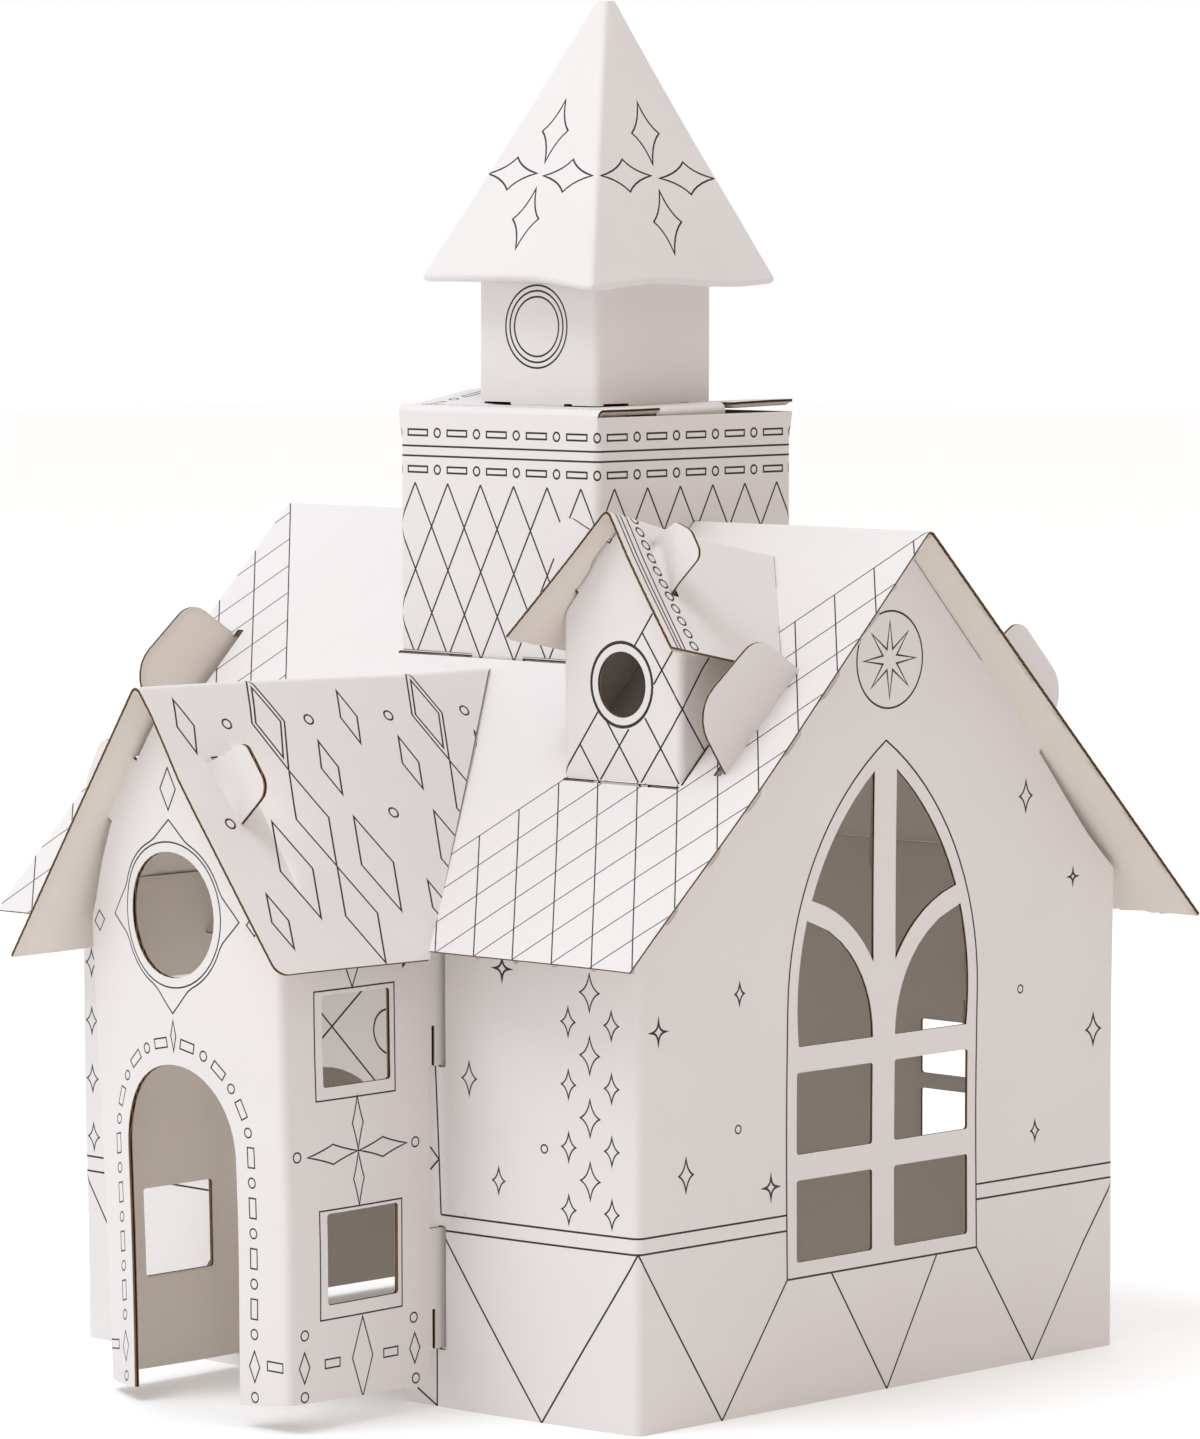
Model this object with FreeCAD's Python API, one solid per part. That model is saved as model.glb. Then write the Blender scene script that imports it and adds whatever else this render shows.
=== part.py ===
"""A small house of folded, slotted board: walls, roof, porch, dormer, bell tower and spire.

Every piece is one sheet of thin corrugated board, cut, folded and held by tabs pushed through slots.
The house stands with its ridge along X, its porch towards -Y and its floor at Z = 0.
"""
import FreeCAD, Part
import os
from math import atan, cos, degrees, pi, radians, sin, sqrt, tan

V = FreeCAD.Vector

# ---- board and fits (mm) ----
BOARD = 1.6             # thickness of the corrugated board
FOLD_INSIDE = 0.4       # inside radius of a fold
FIT = 0.3               # clearance round a tab in its slot, and between a sheet and what it rests on
CORNER = 0.8            # rounding of the cut corners of windows and slots
FAR = 400.0             # reach of a cutting block, longer than the whole house

# ---- main house ----
HOUSE_LENGTH = 197.0    # X, gable face to gable face
HOUSE_WIDTH = 173.0     # Y, corner to corner
WALL_HEIGHT = 124.8     # front wall, at its outer face
FRONT_BOW = 6.0         # how far the front wall bellies out at its middle
ROOF_PITCH = 44.5
GABLE_OVERHANG = 15.0   # roof past each gable
EAVE_OVERHANG = 16.9    # roof past the front and back corners, measured level
GABLE_TAB = ((46.0, -6.0, 0), (50.5, 17.0, 5.5), (77.0, 17.8, 9.0), (81.0, -6.0, 0))

# ---- lancet window in each gable ----
LANCET_HALF = 31.3      # outer edge of the panes
LANCET_SILL = 35.1
LANCET_SPRING = 97.0
LANCET_RADIUS = 71.7
MULLION = 8.0           # width of the upright in the middle
SQUARE_PANE = 20.0      # height of the square panes
TRANSOM = 6.3           # height of the bars between the rows
TRACERY_RADIUS = 31.4   # curved bar in the head of the window
TRACERY_BAR = 5.0

# ---- back windows ----
BACK_WINDOW_AT = 45.7   # centre, from the middle of the house
BACK_WINDOW_LOW = 46.2
BACK_PANE = (22.0, 14.2)
BACK_BAR = 4.0

# ---- porch ----
PORCH_HALF = 38.3       # half width over the side walls
PORCH_DEPTH = 56.5      # from the house's front corners to the porch's front face
PORCH_SIDE = 46.3       # depth of a side wall, fold to free edge
PORCH_LIFT = 5.0        # the porch hangs this far above the floor
PORCH_TAB_LOW = (14.5, 44.0)
PORCH_TAB_HIGH = (83.5, 106.0)
TAB_REACH = 5.0         # how far a tab stands out behind what it passes through
DOOR_HALF = 21.2
DOOR_SPRING = 64.0
HALL_DOOR_HALF = 25.0   # doorway in the house wall, behind the porch
HALL_DOOR_SPRING = 54.6
ROUND_WINDOW = 15.2     # radius
ROUND_WINDOW_Z = 121.4
SIDE_WINDOW = 22.0
SIDE_WINDOW_Z = (40.7, 92.9)
PORCH_DROP = 36.0       # porch ridge below the main ridge
PORCH_PITCH = 54.3
PORCH_EAVE = 9.0        # roof past each side wall, measured level
PORCH_OVERHANG = 10.5   # roof past the front wall
PORCH_GABLE_TAB = ((21.3, -5.0, 0), (24.0, 12.5, 3.0), (37.6, 12.5, 4.5), (39.6, -5.0, 0))
PORCH_VALLEY_TAB = (10.0, 19.5)

# ---- dormer ----
DORMER_AT = 68.7        # X of its middle
DORMER_WIDTH = 39.5
DORMER_FRONT = -61.6    # Y of the front wall's outer face
DORMER_RISE = 5.0       # front end of the dormer's ridge above the main ridge
DORMER_OVERHANG = 5.0   # roof past the front wall, at the ridge
DORMER_EAVE = 8.1       # roof past each side wall, measured level
DORMER_FALL = 11.5      # the ridge falls this many degrees towards the back
DORMER_PITCH = 48.5
DORMER_WINDOW = 8.0     # radius
DORMER_WINDOW_DROP = 41.3   # centre of the window below the front end of the ridge
DORMER_GABLE_TAB = ((7.5, -5.0, 0), (14.5, 13.8, 4.0), (22.5, 13.5, 4.5), (24.5, -5.0, 0))
DORMER_VALLEY_TAB = (8.5, 17.5)

# ---- tower ----
TOWER_SIDE = 70.6
TOWER_HEIGHT = 25.8     # top edge of the side and back walls above the main ridge
TONGUE = (25.0, 12.0)   # width and length of the lid's tuck-in tongue
SADDLE_TAB = (18.0, 7.0)
BELFRY_SIDE = 41.0
BELFRY_HEIGHT = 31.0    # from the lid to the spire's eaves
BELFRY_TAB = (18.0, 8.0)
SPIRE_HALF = 31.6
SPIRE_HEIGHT = 70.6
SPIRE_TIP_HALF = 2.0
MITRE_GAP = 0.8

# ---- what follows from them ----
FOLD = BOARD + FOLD_INSIDE
HALF_LENGTH = HOUSE_LENGTH / 2
HALF_WIDTH = HOUSE_WIDTH / 2
ROOF_TAN = tan(radians(ROOF_PITCH))
ROOF_COS = cos(radians(ROOF_PITCH))
ROOF_RIDGE = WALL_HEIGHT + HALF_WIDTH * ROOF_TAN + (BOARD + FIT) / ROOF_COS
ROOF_LENGTH = HOUSE_LENGTH + 2 * GABLE_OVERHANG
ROOF_EAVE = HALF_WIDTH + EAVE_OVERHANG
BOW_RADIUS = (HALF_LENGTH ** 2 + FRONT_BOW ** 2) / (2 * FRONT_BOW)
PORCH_FRONT = -HALF_WIDTH - PORCH_DEPTH
PORCH_RIDGE = ROOF_RIDGE - PORCH_DROP
PORCH_EAVE_FRONT = PORCH_FRONT - PORCH_OVERHANG
DORMER_RIDGE = ROOF_RIDGE + DORMER_RISE
DORMER_RIDGE_Y = DORMER_FRONT - DORMER_OVERHANG
DORMER_WINDOW_Z = DORMER_RIDGE - DORMER_WINDOW_DROP
TOWER_TOP = ROOF_RIDGE + TOWER_HEIGHT
LID_TOP = TOWER_TOP + FIT + BOARD
SPIRE_EAVE = LID_TOP + BELFRY_HEIGHT
SPIRE_TIP = SPIRE_EAVE + SPIRE_HEIGHT
UP = V(0, 0, 1)


# ---------------------------------------------------------------- flat outlines

def outline(corners):
    """Closed wire in the XY plane through corners of (x, y, radius), each rounded to its radius."""
    points = [V(x, y, 0) for x, y, radius in corners]
    starts, ends, edges = [], [], []
    for index, (x, y, radius) in enumerate(corners):
        here = points[index]
        back = (points[index - 1] - here).normalize()
        ahead = (points[(index + 1) % len(points)] - here).normalize()
        half = back.getAngle(ahead) / 2
        reach = radius / tan(half)
        starts.append(here + back * reach)
        ends.append(here + ahead * reach)
        if radius:
            middle = here + (back + ahead).normalize() * (radius / sin(half) - radius)
            edges.append(Part.Arc(starts[-1], middle, ends[-1]).toShape())
    for index, end in enumerate(ends):
        edges.append(Part.makeLine(end, starts[(index + 1) % len(starts)]))
    return Part.Wire(Part.__sortEdges__(edges))


def rectangle(low_x, low_y, high_x, high_y, radius=0.0):
    """Closed rectangular wire in the XY plane, with rounded corners."""
    return outline([(low_x, low_y, radius), (high_x, low_y, radius),
                    (high_x, high_y, radius), (low_x, high_y, radius)])


def arc(centre, radius, start, end):
    """Circular edge in the XY plane between two angles in degrees."""
    return Part.Edge(Part.Circle(V(*centre, 0), UP, radius), radians(start), radians(end))


def round_arch(half, low, spring):
    """Doorway wire: straight sides up to the springing, then a half circle."""
    edges = [Part.makeLine(V(-half, low, 0), V(half, low, 0)),
             Part.makeLine(V(half, low, 0), V(half, spring, 0)),
             arc((0, spring), half, 0, 180),
             Part.makeLine(V(-half, spring, 0), V(-half, low, 0))]
    return Part.Wire(edges)


def through(wire, origin, right, up, normal, depth, grow=0.0):
    """Solid of a wire drawn on (right, up), starting at origin and running depth along normal."""
    if grow:
        wire = wire.makeOffset2D(grow)
    face = Part.Face(wire)
    face.Placement = FreeCAD.Placement(origin - normal * grow, rotation(right, up))
    return face.extrude(normal * (depth + 2 * grow))


def rotation(right, up):
    """Turn that carries X to right and Y to up."""
    return FreeCAD.Rotation(right, up, right.cross(up), "XYZ")


def block(low, high):
    """Box between two corners."""
    return Part.makeBox(high[0] - low[0], high[1] - low[1], high[2] - low[2], V(*low))


def upright_edges(solid, front=None):
    """Edges of a prism that run along Z; with front given, only those at that Y."""
    found = []
    for edge in solid.Edges:
        a, b = edge.Vertexes[0].Point, edge.Vertexes[-1].Point
        vertical = abs(a.x - b.x) < 1e-6 and abs(a.y - b.y) < 1e-6 and abs(a.z - b.z) > 1e-6
        if vertical and (front is None or abs(a.y - front) < 1e-3):
            found.append(edge)
    return found


def sleeve(wire, low, high):
    """Four-sided sleeve of folded board: its outer wire, drawn in plan, and its lower and upper ends."""
    outer = Part.Face(wire).extrude(V(0, 0, high - low))
    inner = Part.Face(wire.makeOffset2D(-BOARD)).extrude(V(0, 0, high - low))
    outer = outer.makeFillet(FOLD, upright_edges(outer))
    inner = inner.makeFillet(FOLD - BOARD, upright_edges(inner))
    shell = outer.cut(inner)
    shell.translate(V(0, 0, low))
    return shell


# ---------------------------------------------------------------- roofs

class Roof:
    """A sheet folded once along its ridge.

    start is the ridge's outer end, along the ridge's direction and across the level direction
    at right angles to it. Both slopes have the same pitch, and reach the same half width.
    """

    def __init__(self, start, along, across, pitch, half_width, length):
        self.start, self.along, self.across = start, along, across
        self.pitch, self.length = radians(pitch), length
        self.slope = half_width / cos(self.pitch)
        self.up = across.cross(along)

    def down(self, side):
        """Unit vector down the slope on one side, +1 or -1."""
        return self.across * (side * cos(self.pitch)) - self.up * sin(self.pitch)

    def out(self, side):
        """Unit vector out of the slope on one side."""
        return self.across * (side * sin(self.pitch)) + self.up * cos(self.pitch)

    def place(self, shape):
        """Carry a shape from (across, along, up) axes to its place."""
        shape.Placement = FreeCAD.Placement(self.start, rotation(self.across, self.along))
        return shape

    def sheet(self, grow=0.0):
        """The folded sheet, or the same sheet swollen by grow on both faces."""
        rise = sin(self.pitch)
        run = cos(self.pitch)
        low = BOARD + grow
        right = V(self.slope * run, 0, -self.slope * rise)
        section = [V(0, 0, grow / run),
                   right + V(rise, 0, run) * grow,
                   right - V(rise, 0, run) * low,
                   V(0, 0, -low / run)]
        section += [V(-point.x, 0, point.z) for point in section[2:0:-1]]
        solid = Part.Face(Part.makePolygon(section + section[:1])).extrude(V(0, self.length, 0))
        ridge = [edge for edge in solid.Edges
                 if all(abs(v.X) < 1e-6 and abs(v.Z - grow / run) < 1e-6 for v in edge.Vertexes)]
        return self.place(solid.makeFillet(FOLD, ridge))

    def under(self, offset):
        """Block that fills everything under the two slopes, moved out by offset."""
        peak = offset / cos(self.pitch)
        fall = FAR * tan(self.pitch)
        section = [V(0, 0, peak), V(FAR, 0, peak - fall), V(-FAR, 0, peak - fall)]
        solid = Part.Face(Part.makePolygon(section + section[:1])).extrude(V(0, 3 * FAR, 0))
        solid.translate(V(0, -FAR, 0))
        return self.place(solid)

    def tabs(self, tab, at, inward, grow=0.0):
        """The two tabs of a gable that passes the ridge at the point `at`, one through each slope."""
        fused = None
        lean = self.along.dot(inward)
        gable_pitch = atan(tan(self.pitch) / abs(lean))
        for side in (1, -1):
            down = self.across * (side * cos(gable_pitch)) - UP * sin(gable_pitch)
            out = self.across * (side * sin(gable_pitch)) + UP * cos(gable_pitch)
            solid = through(outline(tab), at, down, out, inward, BOARD, grow)
            fused = solid if fused is None else fused.fuse(solid)
        return fused

    def ridge_at(self, y):
        """Point of the sharp outer ridge line at a given Y."""
        return self.start + self.along * ((y - self.start.y) / self.along.y)


def valley_tabs(roof, strip, depth, grow=0.0):
    """Tabs at the back edge of a small roof, in two strips beside its ridge, that pass the main roof."""
    sheet = roof.sheet(grow)
    middle = roof.start.x
    near, far = strip
    tabs = []
    for side in (1, -1):
        low, high = sorted((middle + side * (near - grow), middle + side * (far + grow)))
        tabs.append(sheet.common(block((low, -FAR, 0), (high, FAR, FAR))))
    tabs = tabs[0].fuse(tabs[1])
    return tabs.common(MAIN_ROOF.under(2 * FIT)).cut(MAIN_ROOF.under(-depth))


MAIN_ROOF = Roof(V(-ROOF_LENGTH / 2, 0, ROOF_RIDGE), V(1, 0, 0), V(0, -1, 0),
                 ROOF_PITCH, ROOF_EAVE, ROOF_LENGTH)
PORCH_ROOF = Roof(V(0, PORCH_EAVE_FRONT, PORCH_RIDGE), V(0, 1, 0), V(1, 0, 0),
                  PORCH_PITCH, PORCH_HALF + PORCH_EAVE, -PORCH_EAVE_FRONT)
DORMER_ROOF = Roof(V(DORMER_AT, DORMER_RIDGE_Y, DORMER_RIDGE),
                   V(0, cos(radians(DORMER_FALL)), -sin(radians(DORMER_FALL))), V(1, 0, 0),
                   DORMER_PITCH, DORMER_WIDTH / 2 + DORMER_EAVE, -DORMER_RIDGE_Y)


# ---------------------------------------------------------------- main house

def lancet_panes():
    """The eight panes of a lancet window, as wires drawn with the middle of the gable at x = 0."""
    wires = []
    inner = MULLION / 2
    low = LANCET_SILL
    for row in range(2):
        wires.append(rectangle(inner, low, LANCET_HALF, low + SQUARE_PANE, CORNER))
        low += SQUARE_PANE + TRANSOM
    side_centre = LANCET_HALF - LANCET_RADIUS
    tracery_centre = inner + TRACERY_RADIUS

    def side_x(z):
        return side_centre + sqrt(LANCET_RADIUS ** 2 - (z - LANCET_SPRING) ** 2)

    def meeting(radius):
        """Height where a tracery arc meets the side arc."""
        bottom, top = low, LANCET_SPRING + LANCET_RADIUS * 0.7
        for step in range(60):
            z = (bottom + top) / 2
            reach = sqrt(max(radius ** 2 - (z - low) ** 2, 0))
            if tracery_centre - reach < side_x(z):
                bottom = z
            else:
                top = z
        return z

    def side_arc(start_z, end_z):
        angles = [degrees(atan((z - LANCET_SPRING) / (side_x(z) - side_centre))) for z in (start_z, end_z)]
        return arc((side_centre, LANCET_SPRING), LANCET_RADIUS, *angles)

    def tracery_arc(radius, start_z, end_z):
        angles = [180 - degrees(atan((z - low) / sqrt(radius ** 2 - (z - low) ** 2))) for z in (end_z, start_z)]
        return arc((tracery_centre, low), radius, *angles)

    lower_top = meeting(TRACERY_RADIUS)
    base = [Part.makeLine(V(inner, low, 0), V(side_x(low), low, 0)),
            side_arc(low, lower_top), tracery_arc(TRACERY_RADIUS, low, lower_top)]
    wires.append(Part.Wire(Part.__sortEdges__(base)))

    outer_radius = TRACERY_RADIUS + TRACERY_BAR
    upper_low = meeting(outer_radius)
    mullion_low = low + sqrt(outer_radius ** 2 - TRACERY_RADIUS ** 2)
    tip = LANCET_SPRING + sqrt(LANCET_RADIUS ** 2 - (inner - side_centre) ** 2)
    head = [side_arc(upper_low, tip), tracery_arc(outer_radius, mullion_low, upper_low),
            Part.makeLine(V(inner, mullion_low, 0), V(inner, tip, 0))]
    wires.append(Part.Wire(Part.__sortEdges__(head)))
    return wires + [wire.mirror(V(0, 0, 0), V(1, 0, 0)) for wire in wires]


def house_plan():
    """Outer outline of the four walls in plan: a rectangle whose front side bellies out."""
    back_left, back_right = V(-HALF_LENGTH, HALF_WIDTH, 0), V(HALF_LENGTH, HALF_WIDTH, 0)
    front_left, front_right = V(-HALF_LENGTH, -HALF_WIDTH, 0), V(HALF_LENGTH, -HALF_WIDTH, 0)
    front_middle = V(0, -HALF_WIDTH - FRONT_BOW, 0)
    return Part.Wire([Part.Arc(front_left, front_middle, front_right).toShape(),
                      Part.makeLine(front_right, back_right), Part.makeLine(back_right, back_left),
                      Part.makeLine(back_left, front_left)])


def front_wall_y(x):
    """Y of the front wall's outer face at a given X."""
    return -HALF_WIDTH - FRONT_BOW + BOW_RADIUS - sqrt(BOW_RADIUS ** 2 - x ** 2)


def gable_tabs(grow=0.0):
    """All four tabs of the two gables, one through each slope of the main roof at each end."""
    right = MAIN_ROOF.tabs(GABLE_TAB, V(HALF_LENGTH, 0, ROOF_RIDGE), V(-1, 0, 0), grow)
    left = MAIN_ROOF.tabs(GABLE_TAB, V(-HALF_LENGTH, 0, ROOF_RIDGE), V(1, 0, 0), grow)
    return right.fuse(left)


def main_walls():
    walls = sleeve(house_plan(), 0, ROOF_RIDGE).common(MAIN_ROOF.under(-BOARD - FIT))
    walls = walls.fuse(gable_tabs())
    for wire in lancet_panes():
        walls = walls.cut(through(wire, V(-FAR, 0, 0), V(0, 1, 0), UP, V(1, 0, 0), 2 * FAR))
    door = round_arch(HALL_DOOR_HALF, -1, HALL_DOOR_SPRING)
    walls = walls.cut(through(door, V(0, -FAR, 0), V(1, 0, 0), UP, V(0, 1, 0), FAR))
    width, height = BACK_PANE
    for side in (1, -1):
        for low in (BACK_WINDOW_LOW, BACK_WINDOW_LOW + height + BACK_BAR):
            pane = rectangle(side * BACK_WINDOW_AT - width / 2, low,
                             side * BACK_WINDOW_AT + width / 2, low + height, CORNER)
            walls = walls.cut(through(pane, V(0, 0, 0), V(1, 0, 0), UP, V(0, 1, 0), FAR))
    return walls.cut(porch_rear_tabs(FIT))


def main_roof():
    sheet = MAIN_ROOF.sheet().cut(gable_tabs(FIT))
    for roof, strip in ((PORCH_ROOF, PORCH_VALLEY_TAB), (DORMER_ROOF, DORMER_VALLEY_TAB)):
        sheet = sheet.cut(valley_tabs(roof, strip, BOARD + TAB_REACH, FIT))
    return sheet.cut(saddle_tabs(FIT)).cut(dormer_foot_tab(FIT))


# ---------------------------------------------------------------- porch

def porch_rear_tabs(grow=0.0):
    """Two tabs behind each side wall, one above the other, that pass the slots of the front wall."""
    fused = None
    start = PORCH_FRONT + PORCH_SIDE
    reach = front_wall_y(PORCH_HALF) + BOARD + TAB_REACH
    for low, high in (PORCH_TAB_LOW, PORCH_TAB_HIGH):
        wire = outline([(start - 3, low, 0), (reach, low, 3.0), (reach, high, 3.0), (start - 3, high, 0)])
        for inner_x in (-PORCH_HALF, PORCH_HALF - BOARD):
            tab = through(wire, V(inner_x, 0, 0), V(0, 1, 0), UP, V(1, 0, 0), BOARD, grow)
            fused = tab if fused is None else fused.fuse(tab)
    return fused


def porch_walls():
    back = PORCH_FRONT + PORCH_SIDE
    plan = rectangle(-PORCH_HALF, PORCH_FRONT, PORCH_HALF, back + FAR)
    walls = sleeve(plan, PORCH_LIFT, PORCH_RIDGE).cut(block((-FAR, back, 0), (FAR, 3 * FAR, FAR)))
    walls = walls.common(PORCH_ROOF.under(-BOARD - FIT))
    walls = walls.fuse(PORCH_ROOF.tabs(PORCH_GABLE_TAB, V(0, PORCH_FRONT, PORCH_RIDGE), V(0, 1, 0)))
    walls = walls.fuse(porch_rear_tabs())

    door = round_arch(DOOR_HALF, -1, DOOR_SPRING)
    window = Part.Wire(arc((0, ROUND_WINDOW_Z), ROUND_WINDOW, 0, 360))
    for wire in (door, window):
        walls = walls.cut(through(wire, V(0, PORCH_FRONT - 1, 0), V(1, 0, 0), UP, V(0, 1, 0), BOARD + 2))
    half = SIDE_WINDOW / 2
    middle = PORCH_FRONT + PORCH_SIDE / 2
    for height in SIDE_WINDOW_Z:
        wire = rectangle(middle - half, height - half, middle + half, height + half, CORNER)
        walls = walls.cut(through(wire, V(-FAR, 0, 0), V(0, 1, 0), UP, V(1, 0, 0), 2 * FAR))

    eave_y = -ROOF_EAVE - FIT - BOARD
    above_overhang = block((-FAR, eave_y, 0), (FAR, FAR, FAR)).cut(MAIN_ROOF.under(-BOARD - FIT))
    return walls.cut(above_overhang)


def porch_roof():
    sheet = PORCH_ROOF.sheet()
    sheet = sheet.cut(PORCH_ROOF.tabs(PORCH_GABLE_TAB, V(0, PORCH_FRONT, PORCH_RIDGE), V(0, 1, 0), FIT))
    tabs = valley_tabs(PORCH_ROOF, PORCH_VALLEY_TAB, BOARD + TAB_REACH - FIT)
    return sheet.cut(MAIN_ROOF.under(FIT)).fuse(tabs)


# ---------------------------------------------------------------- dormer

def dormer_foot_tab(grow=0.0):
    """Tab under the dormer's front wall that passes the main roof."""
    width, length = SADDLE_TAB
    foot = ROOF_RIDGE + DORMER_FRONT * ROOF_TAN
    wire = rectangle(DORMER_AT - width / 2, foot - length, DORMER_AT + width / 2, foot + 6)
    return through(wire, V(0, DORMER_FRONT, 0), V(1, 0, 0), UP, V(0, 1, 0), BOARD, grow)


def dormer_walls():
    half = DORMER_WIDTH / 2
    plan = rectangle(DORMER_AT - half, DORMER_FRONT, DORMER_AT + half, DORMER_FRONT + FAR)
    walls = sleeve(plan, 0, DORMER_RIDGE)
    at = DORMER_ROOF.ridge_at(DORMER_FRONT)
    walls = walls.common(DORMER_ROOF.under(-BOARD - FIT)).cut(MAIN_ROOF.under(FIT))
    walls = walls.cut(block((-FAR, 0, 0), (FAR, 2 * FAR, FAR)))
    walls = walls.fuse(DORMER_ROOF.tabs(DORMER_GABLE_TAB, at, V(0, 1, 0))).fuse(dormer_foot_tab())
    window = Part.Wire(arc((DORMER_AT, DORMER_WINDOW_Z), DORMER_WINDOW, 0, 360))
    return walls.cut(through(window, V(0, DORMER_FRONT - 1, 0), V(1, 0, 0), UP, V(0, 1, 0), BOARD + 2))


def dormer_roof():
    at = DORMER_ROOF.ridge_at(DORMER_FRONT)
    sheet = DORMER_ROOF.sheet().cut(DORMER_ROOF.tabs(DORMER_GABLE_TAB, at, V(0, 1, 0), FIT))
    tabs = valley_tabs(DORMER_ROOF, DORMER_VALLEY_TAB, BOARD + TAB_REACH - FIT)
    return sheet.cut(MAIN_ROOF.under(FIT)).fuse(tabs)


# ---------------------------------------------------------------- tower and spire

def saddle_tabs(grow=0.0):
    """Tabs under the tower's front and back walls that pass the main roof."""
    width, length = SADDLE_TAB
    half = TOWER_SIDE / 2
    foot = ROOF_RIDGE - half * ROOF_TAN
    wire = rectangle(-width / 2, foot - length, width / 2, foot + 6)
    front = through(wire, V(0, -half, 0), V(1, 0, 0), UP, V(0, 1, 0), BOARD, grow)
    back = through(wire, V(0, half - BOARD, 0), V(1, 0, 0), UP, V(0, 1, 0), BOARD, grow)
    return front.fuse(back)


def belfry_tabs(grow=0.0):
    """Four tabs under the belfry walls that pass the tower's lid."""
    width, length = BELFRY_TAB
    half = BELFRY_SIDE / 2
    top = LID_TOP + 6
    long_way = [block((-width / 2 - grow, y - grow, LID_TOP - length), (width / 2 + grow, y + BOARD + grow, top))
                for y in (-half, half - BOARD)]
    short_way = [block((x - grow, -width / 2 - grow, LID_TOP - length), (x + BOARD + grow, width / 2 + grow, top))
                 for x in (-half, half - BOARD)]
    return long_way[0].fuse(long_way[1]).fuse(short_way[0]).fuse(short_way[1])


def tower_base():
    half = TOWER_SIDE / 2
    plan = rectangle(-half, -half, half, half)
    walls = sleeve(plan, 0, LID_TOP).cut(MAIN_ROOF.under(FIT)).fuse(saddle_tabs())
    # the side and back walls stop under the lid, which is the front wall folded over
    walls = walls.cut(block((-half - 1, -half + FOLD, TOWER_TOP), (half + 1, half + 1, LID_TOP + 1)))
    lid = block((-half, -half + FOLD, LID_TOP - BOARD), (half, half, LID_TOP))
    fold = Part.makeCylinder(FOLD, TOWER_SIDE, V(-half, -half + FOLD, LID_TOP - FOLD), V(1, 0, 0))
    core = Part.makeCylinder(FOLD - BOARD, TOWER_SIDE, V(-half, -half + FOLD, LID_TOP - FOLD), V(1, 0, 0))
    quarter = block((-half, -half, LID_TOP - FOLD), (half, -half + FOLD, LID_TOP))
    walls = walls.cut(block((-half - 1, -half - 1, LID_TOP - FOLD), (half + 1, -half + FOLD, LID_TOP + 1)))
    fold = fold.cut(core).common(quarter)

    tongue_x = half - BOARD - FIT
    width, length = TONGUE
    notch = block((tongue_x, -width / 2 - 2 * FIT, TOWER_TOP), (half + 1, width / 2 + 2 * FIT, LID_TOP + 1))
    tongue = block((tongue_x - BOARD, -width / 2, LID_TOP - length), (tongue_x, width / 2, LID_TOP))
    tongue = tongue.makeFillet(BOARD * 0.9, [edge for edge in tongue.Edges
                                              if all(abs(v.X - tongue_x) < 1e-6 and abs(v.Z - LID_TOP) < 1e-6
                                                     for v in edge.Vertexes)])
    lid = lid.cut(notch).cut(belfry_tabs(FIT))
    clear = block((tongue_x - BOARD, -width / 2, TOWER_TOP), (tongue_x, width / 2, LID_TOP + 1))
    return walls.fuse(fold).fuse(lid.cut(clear)).fuse(tongue)


def spire_half(z, inset=0.0):
    """Half width of the spire at a height, its faces moved in by inset."""
    lean = (SPIRE_HALF - SPIRE_TIP_HALF) / (SPIRE_TIP - SPIRE_EAVE)
    return SPIRE_HALF - lean * (z - SPIRE_EAVE) - inset * sqrt(1 + lean ** 2)


def tower_upper():
    half = BELFRY_SIDE / 2
    lean = (SPIRE_HALF - SPIRE_TIP_HALF) / (SPIRE_TIP - SPIRE_EAVE)
    top = SPIRE_EAVE + (spire_half(SPIRE_EAVE, BOARD) - half - FIT) / lean
    walls = sleeve(rectangle(-half, -half, half, half), LID_TOP + FIT, top)
    return walls.fuse(belfry_tabs())


def frustum(low_half, low_z, high_half, high_z, radius):
    """Four-sided frustum on the Z axis, its lower edges rounded to a radius."""
    wire = outline([(-low_half, low_z, radius), (low_half, low_z, radius),
                    (high_half, high_z, 0), (-high_half, high_z, 0)])
    one_way = through(wire, V(0, -FAR, 0), V(1, 0, 0), UP, V(0, 1, 0), 2 * FAR)
    other_way = through(wire, V(-FAR, 0, 0), V(0, 1, 0), UP, V(1, 0, 0), 2 * FAR)
    return one_way.common(other_way)


def spire():
    outer = frustum(SPIRE_HALF, SPIRE_EAVE, SPIRE_TIP_HALF, SPIRE_TIP, FOLD)
    floor = SPIRE_EAVE + BOARD
    peak = SPIRE_TIP - 2 * BOARD
    hollow = frustum(spire_half(floor, BOARD), floor, spire_half(peak, BOARD), peak, FOLD_INSIDE)
    opening = BELFRY_SIDE / 2 + FIT
    hollow = hollow.fuse(block((-opening, -opening, SPIRE_EAVE - 1), (opening, opening, floor + 1)))
    shell = outer.cut(hollow)
    # the four folded-under eaves meet in open mitres
    for angle in (45, 135, 225, 315):
        slit = Part.makeBox(SPIRE_HALF * sqrt(2) - 3 * FOLD, MITRE_GAP, BOARD + 1,
                            V(0, -MITRE_GAP / 2, SPIRE_EAVE - 1))
        slit.rotate(V(0, 0, 0), UP, angle)
        shell = shell.cut(slit)
    return shell


# ---------------------------------------------------------------- export

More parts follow.
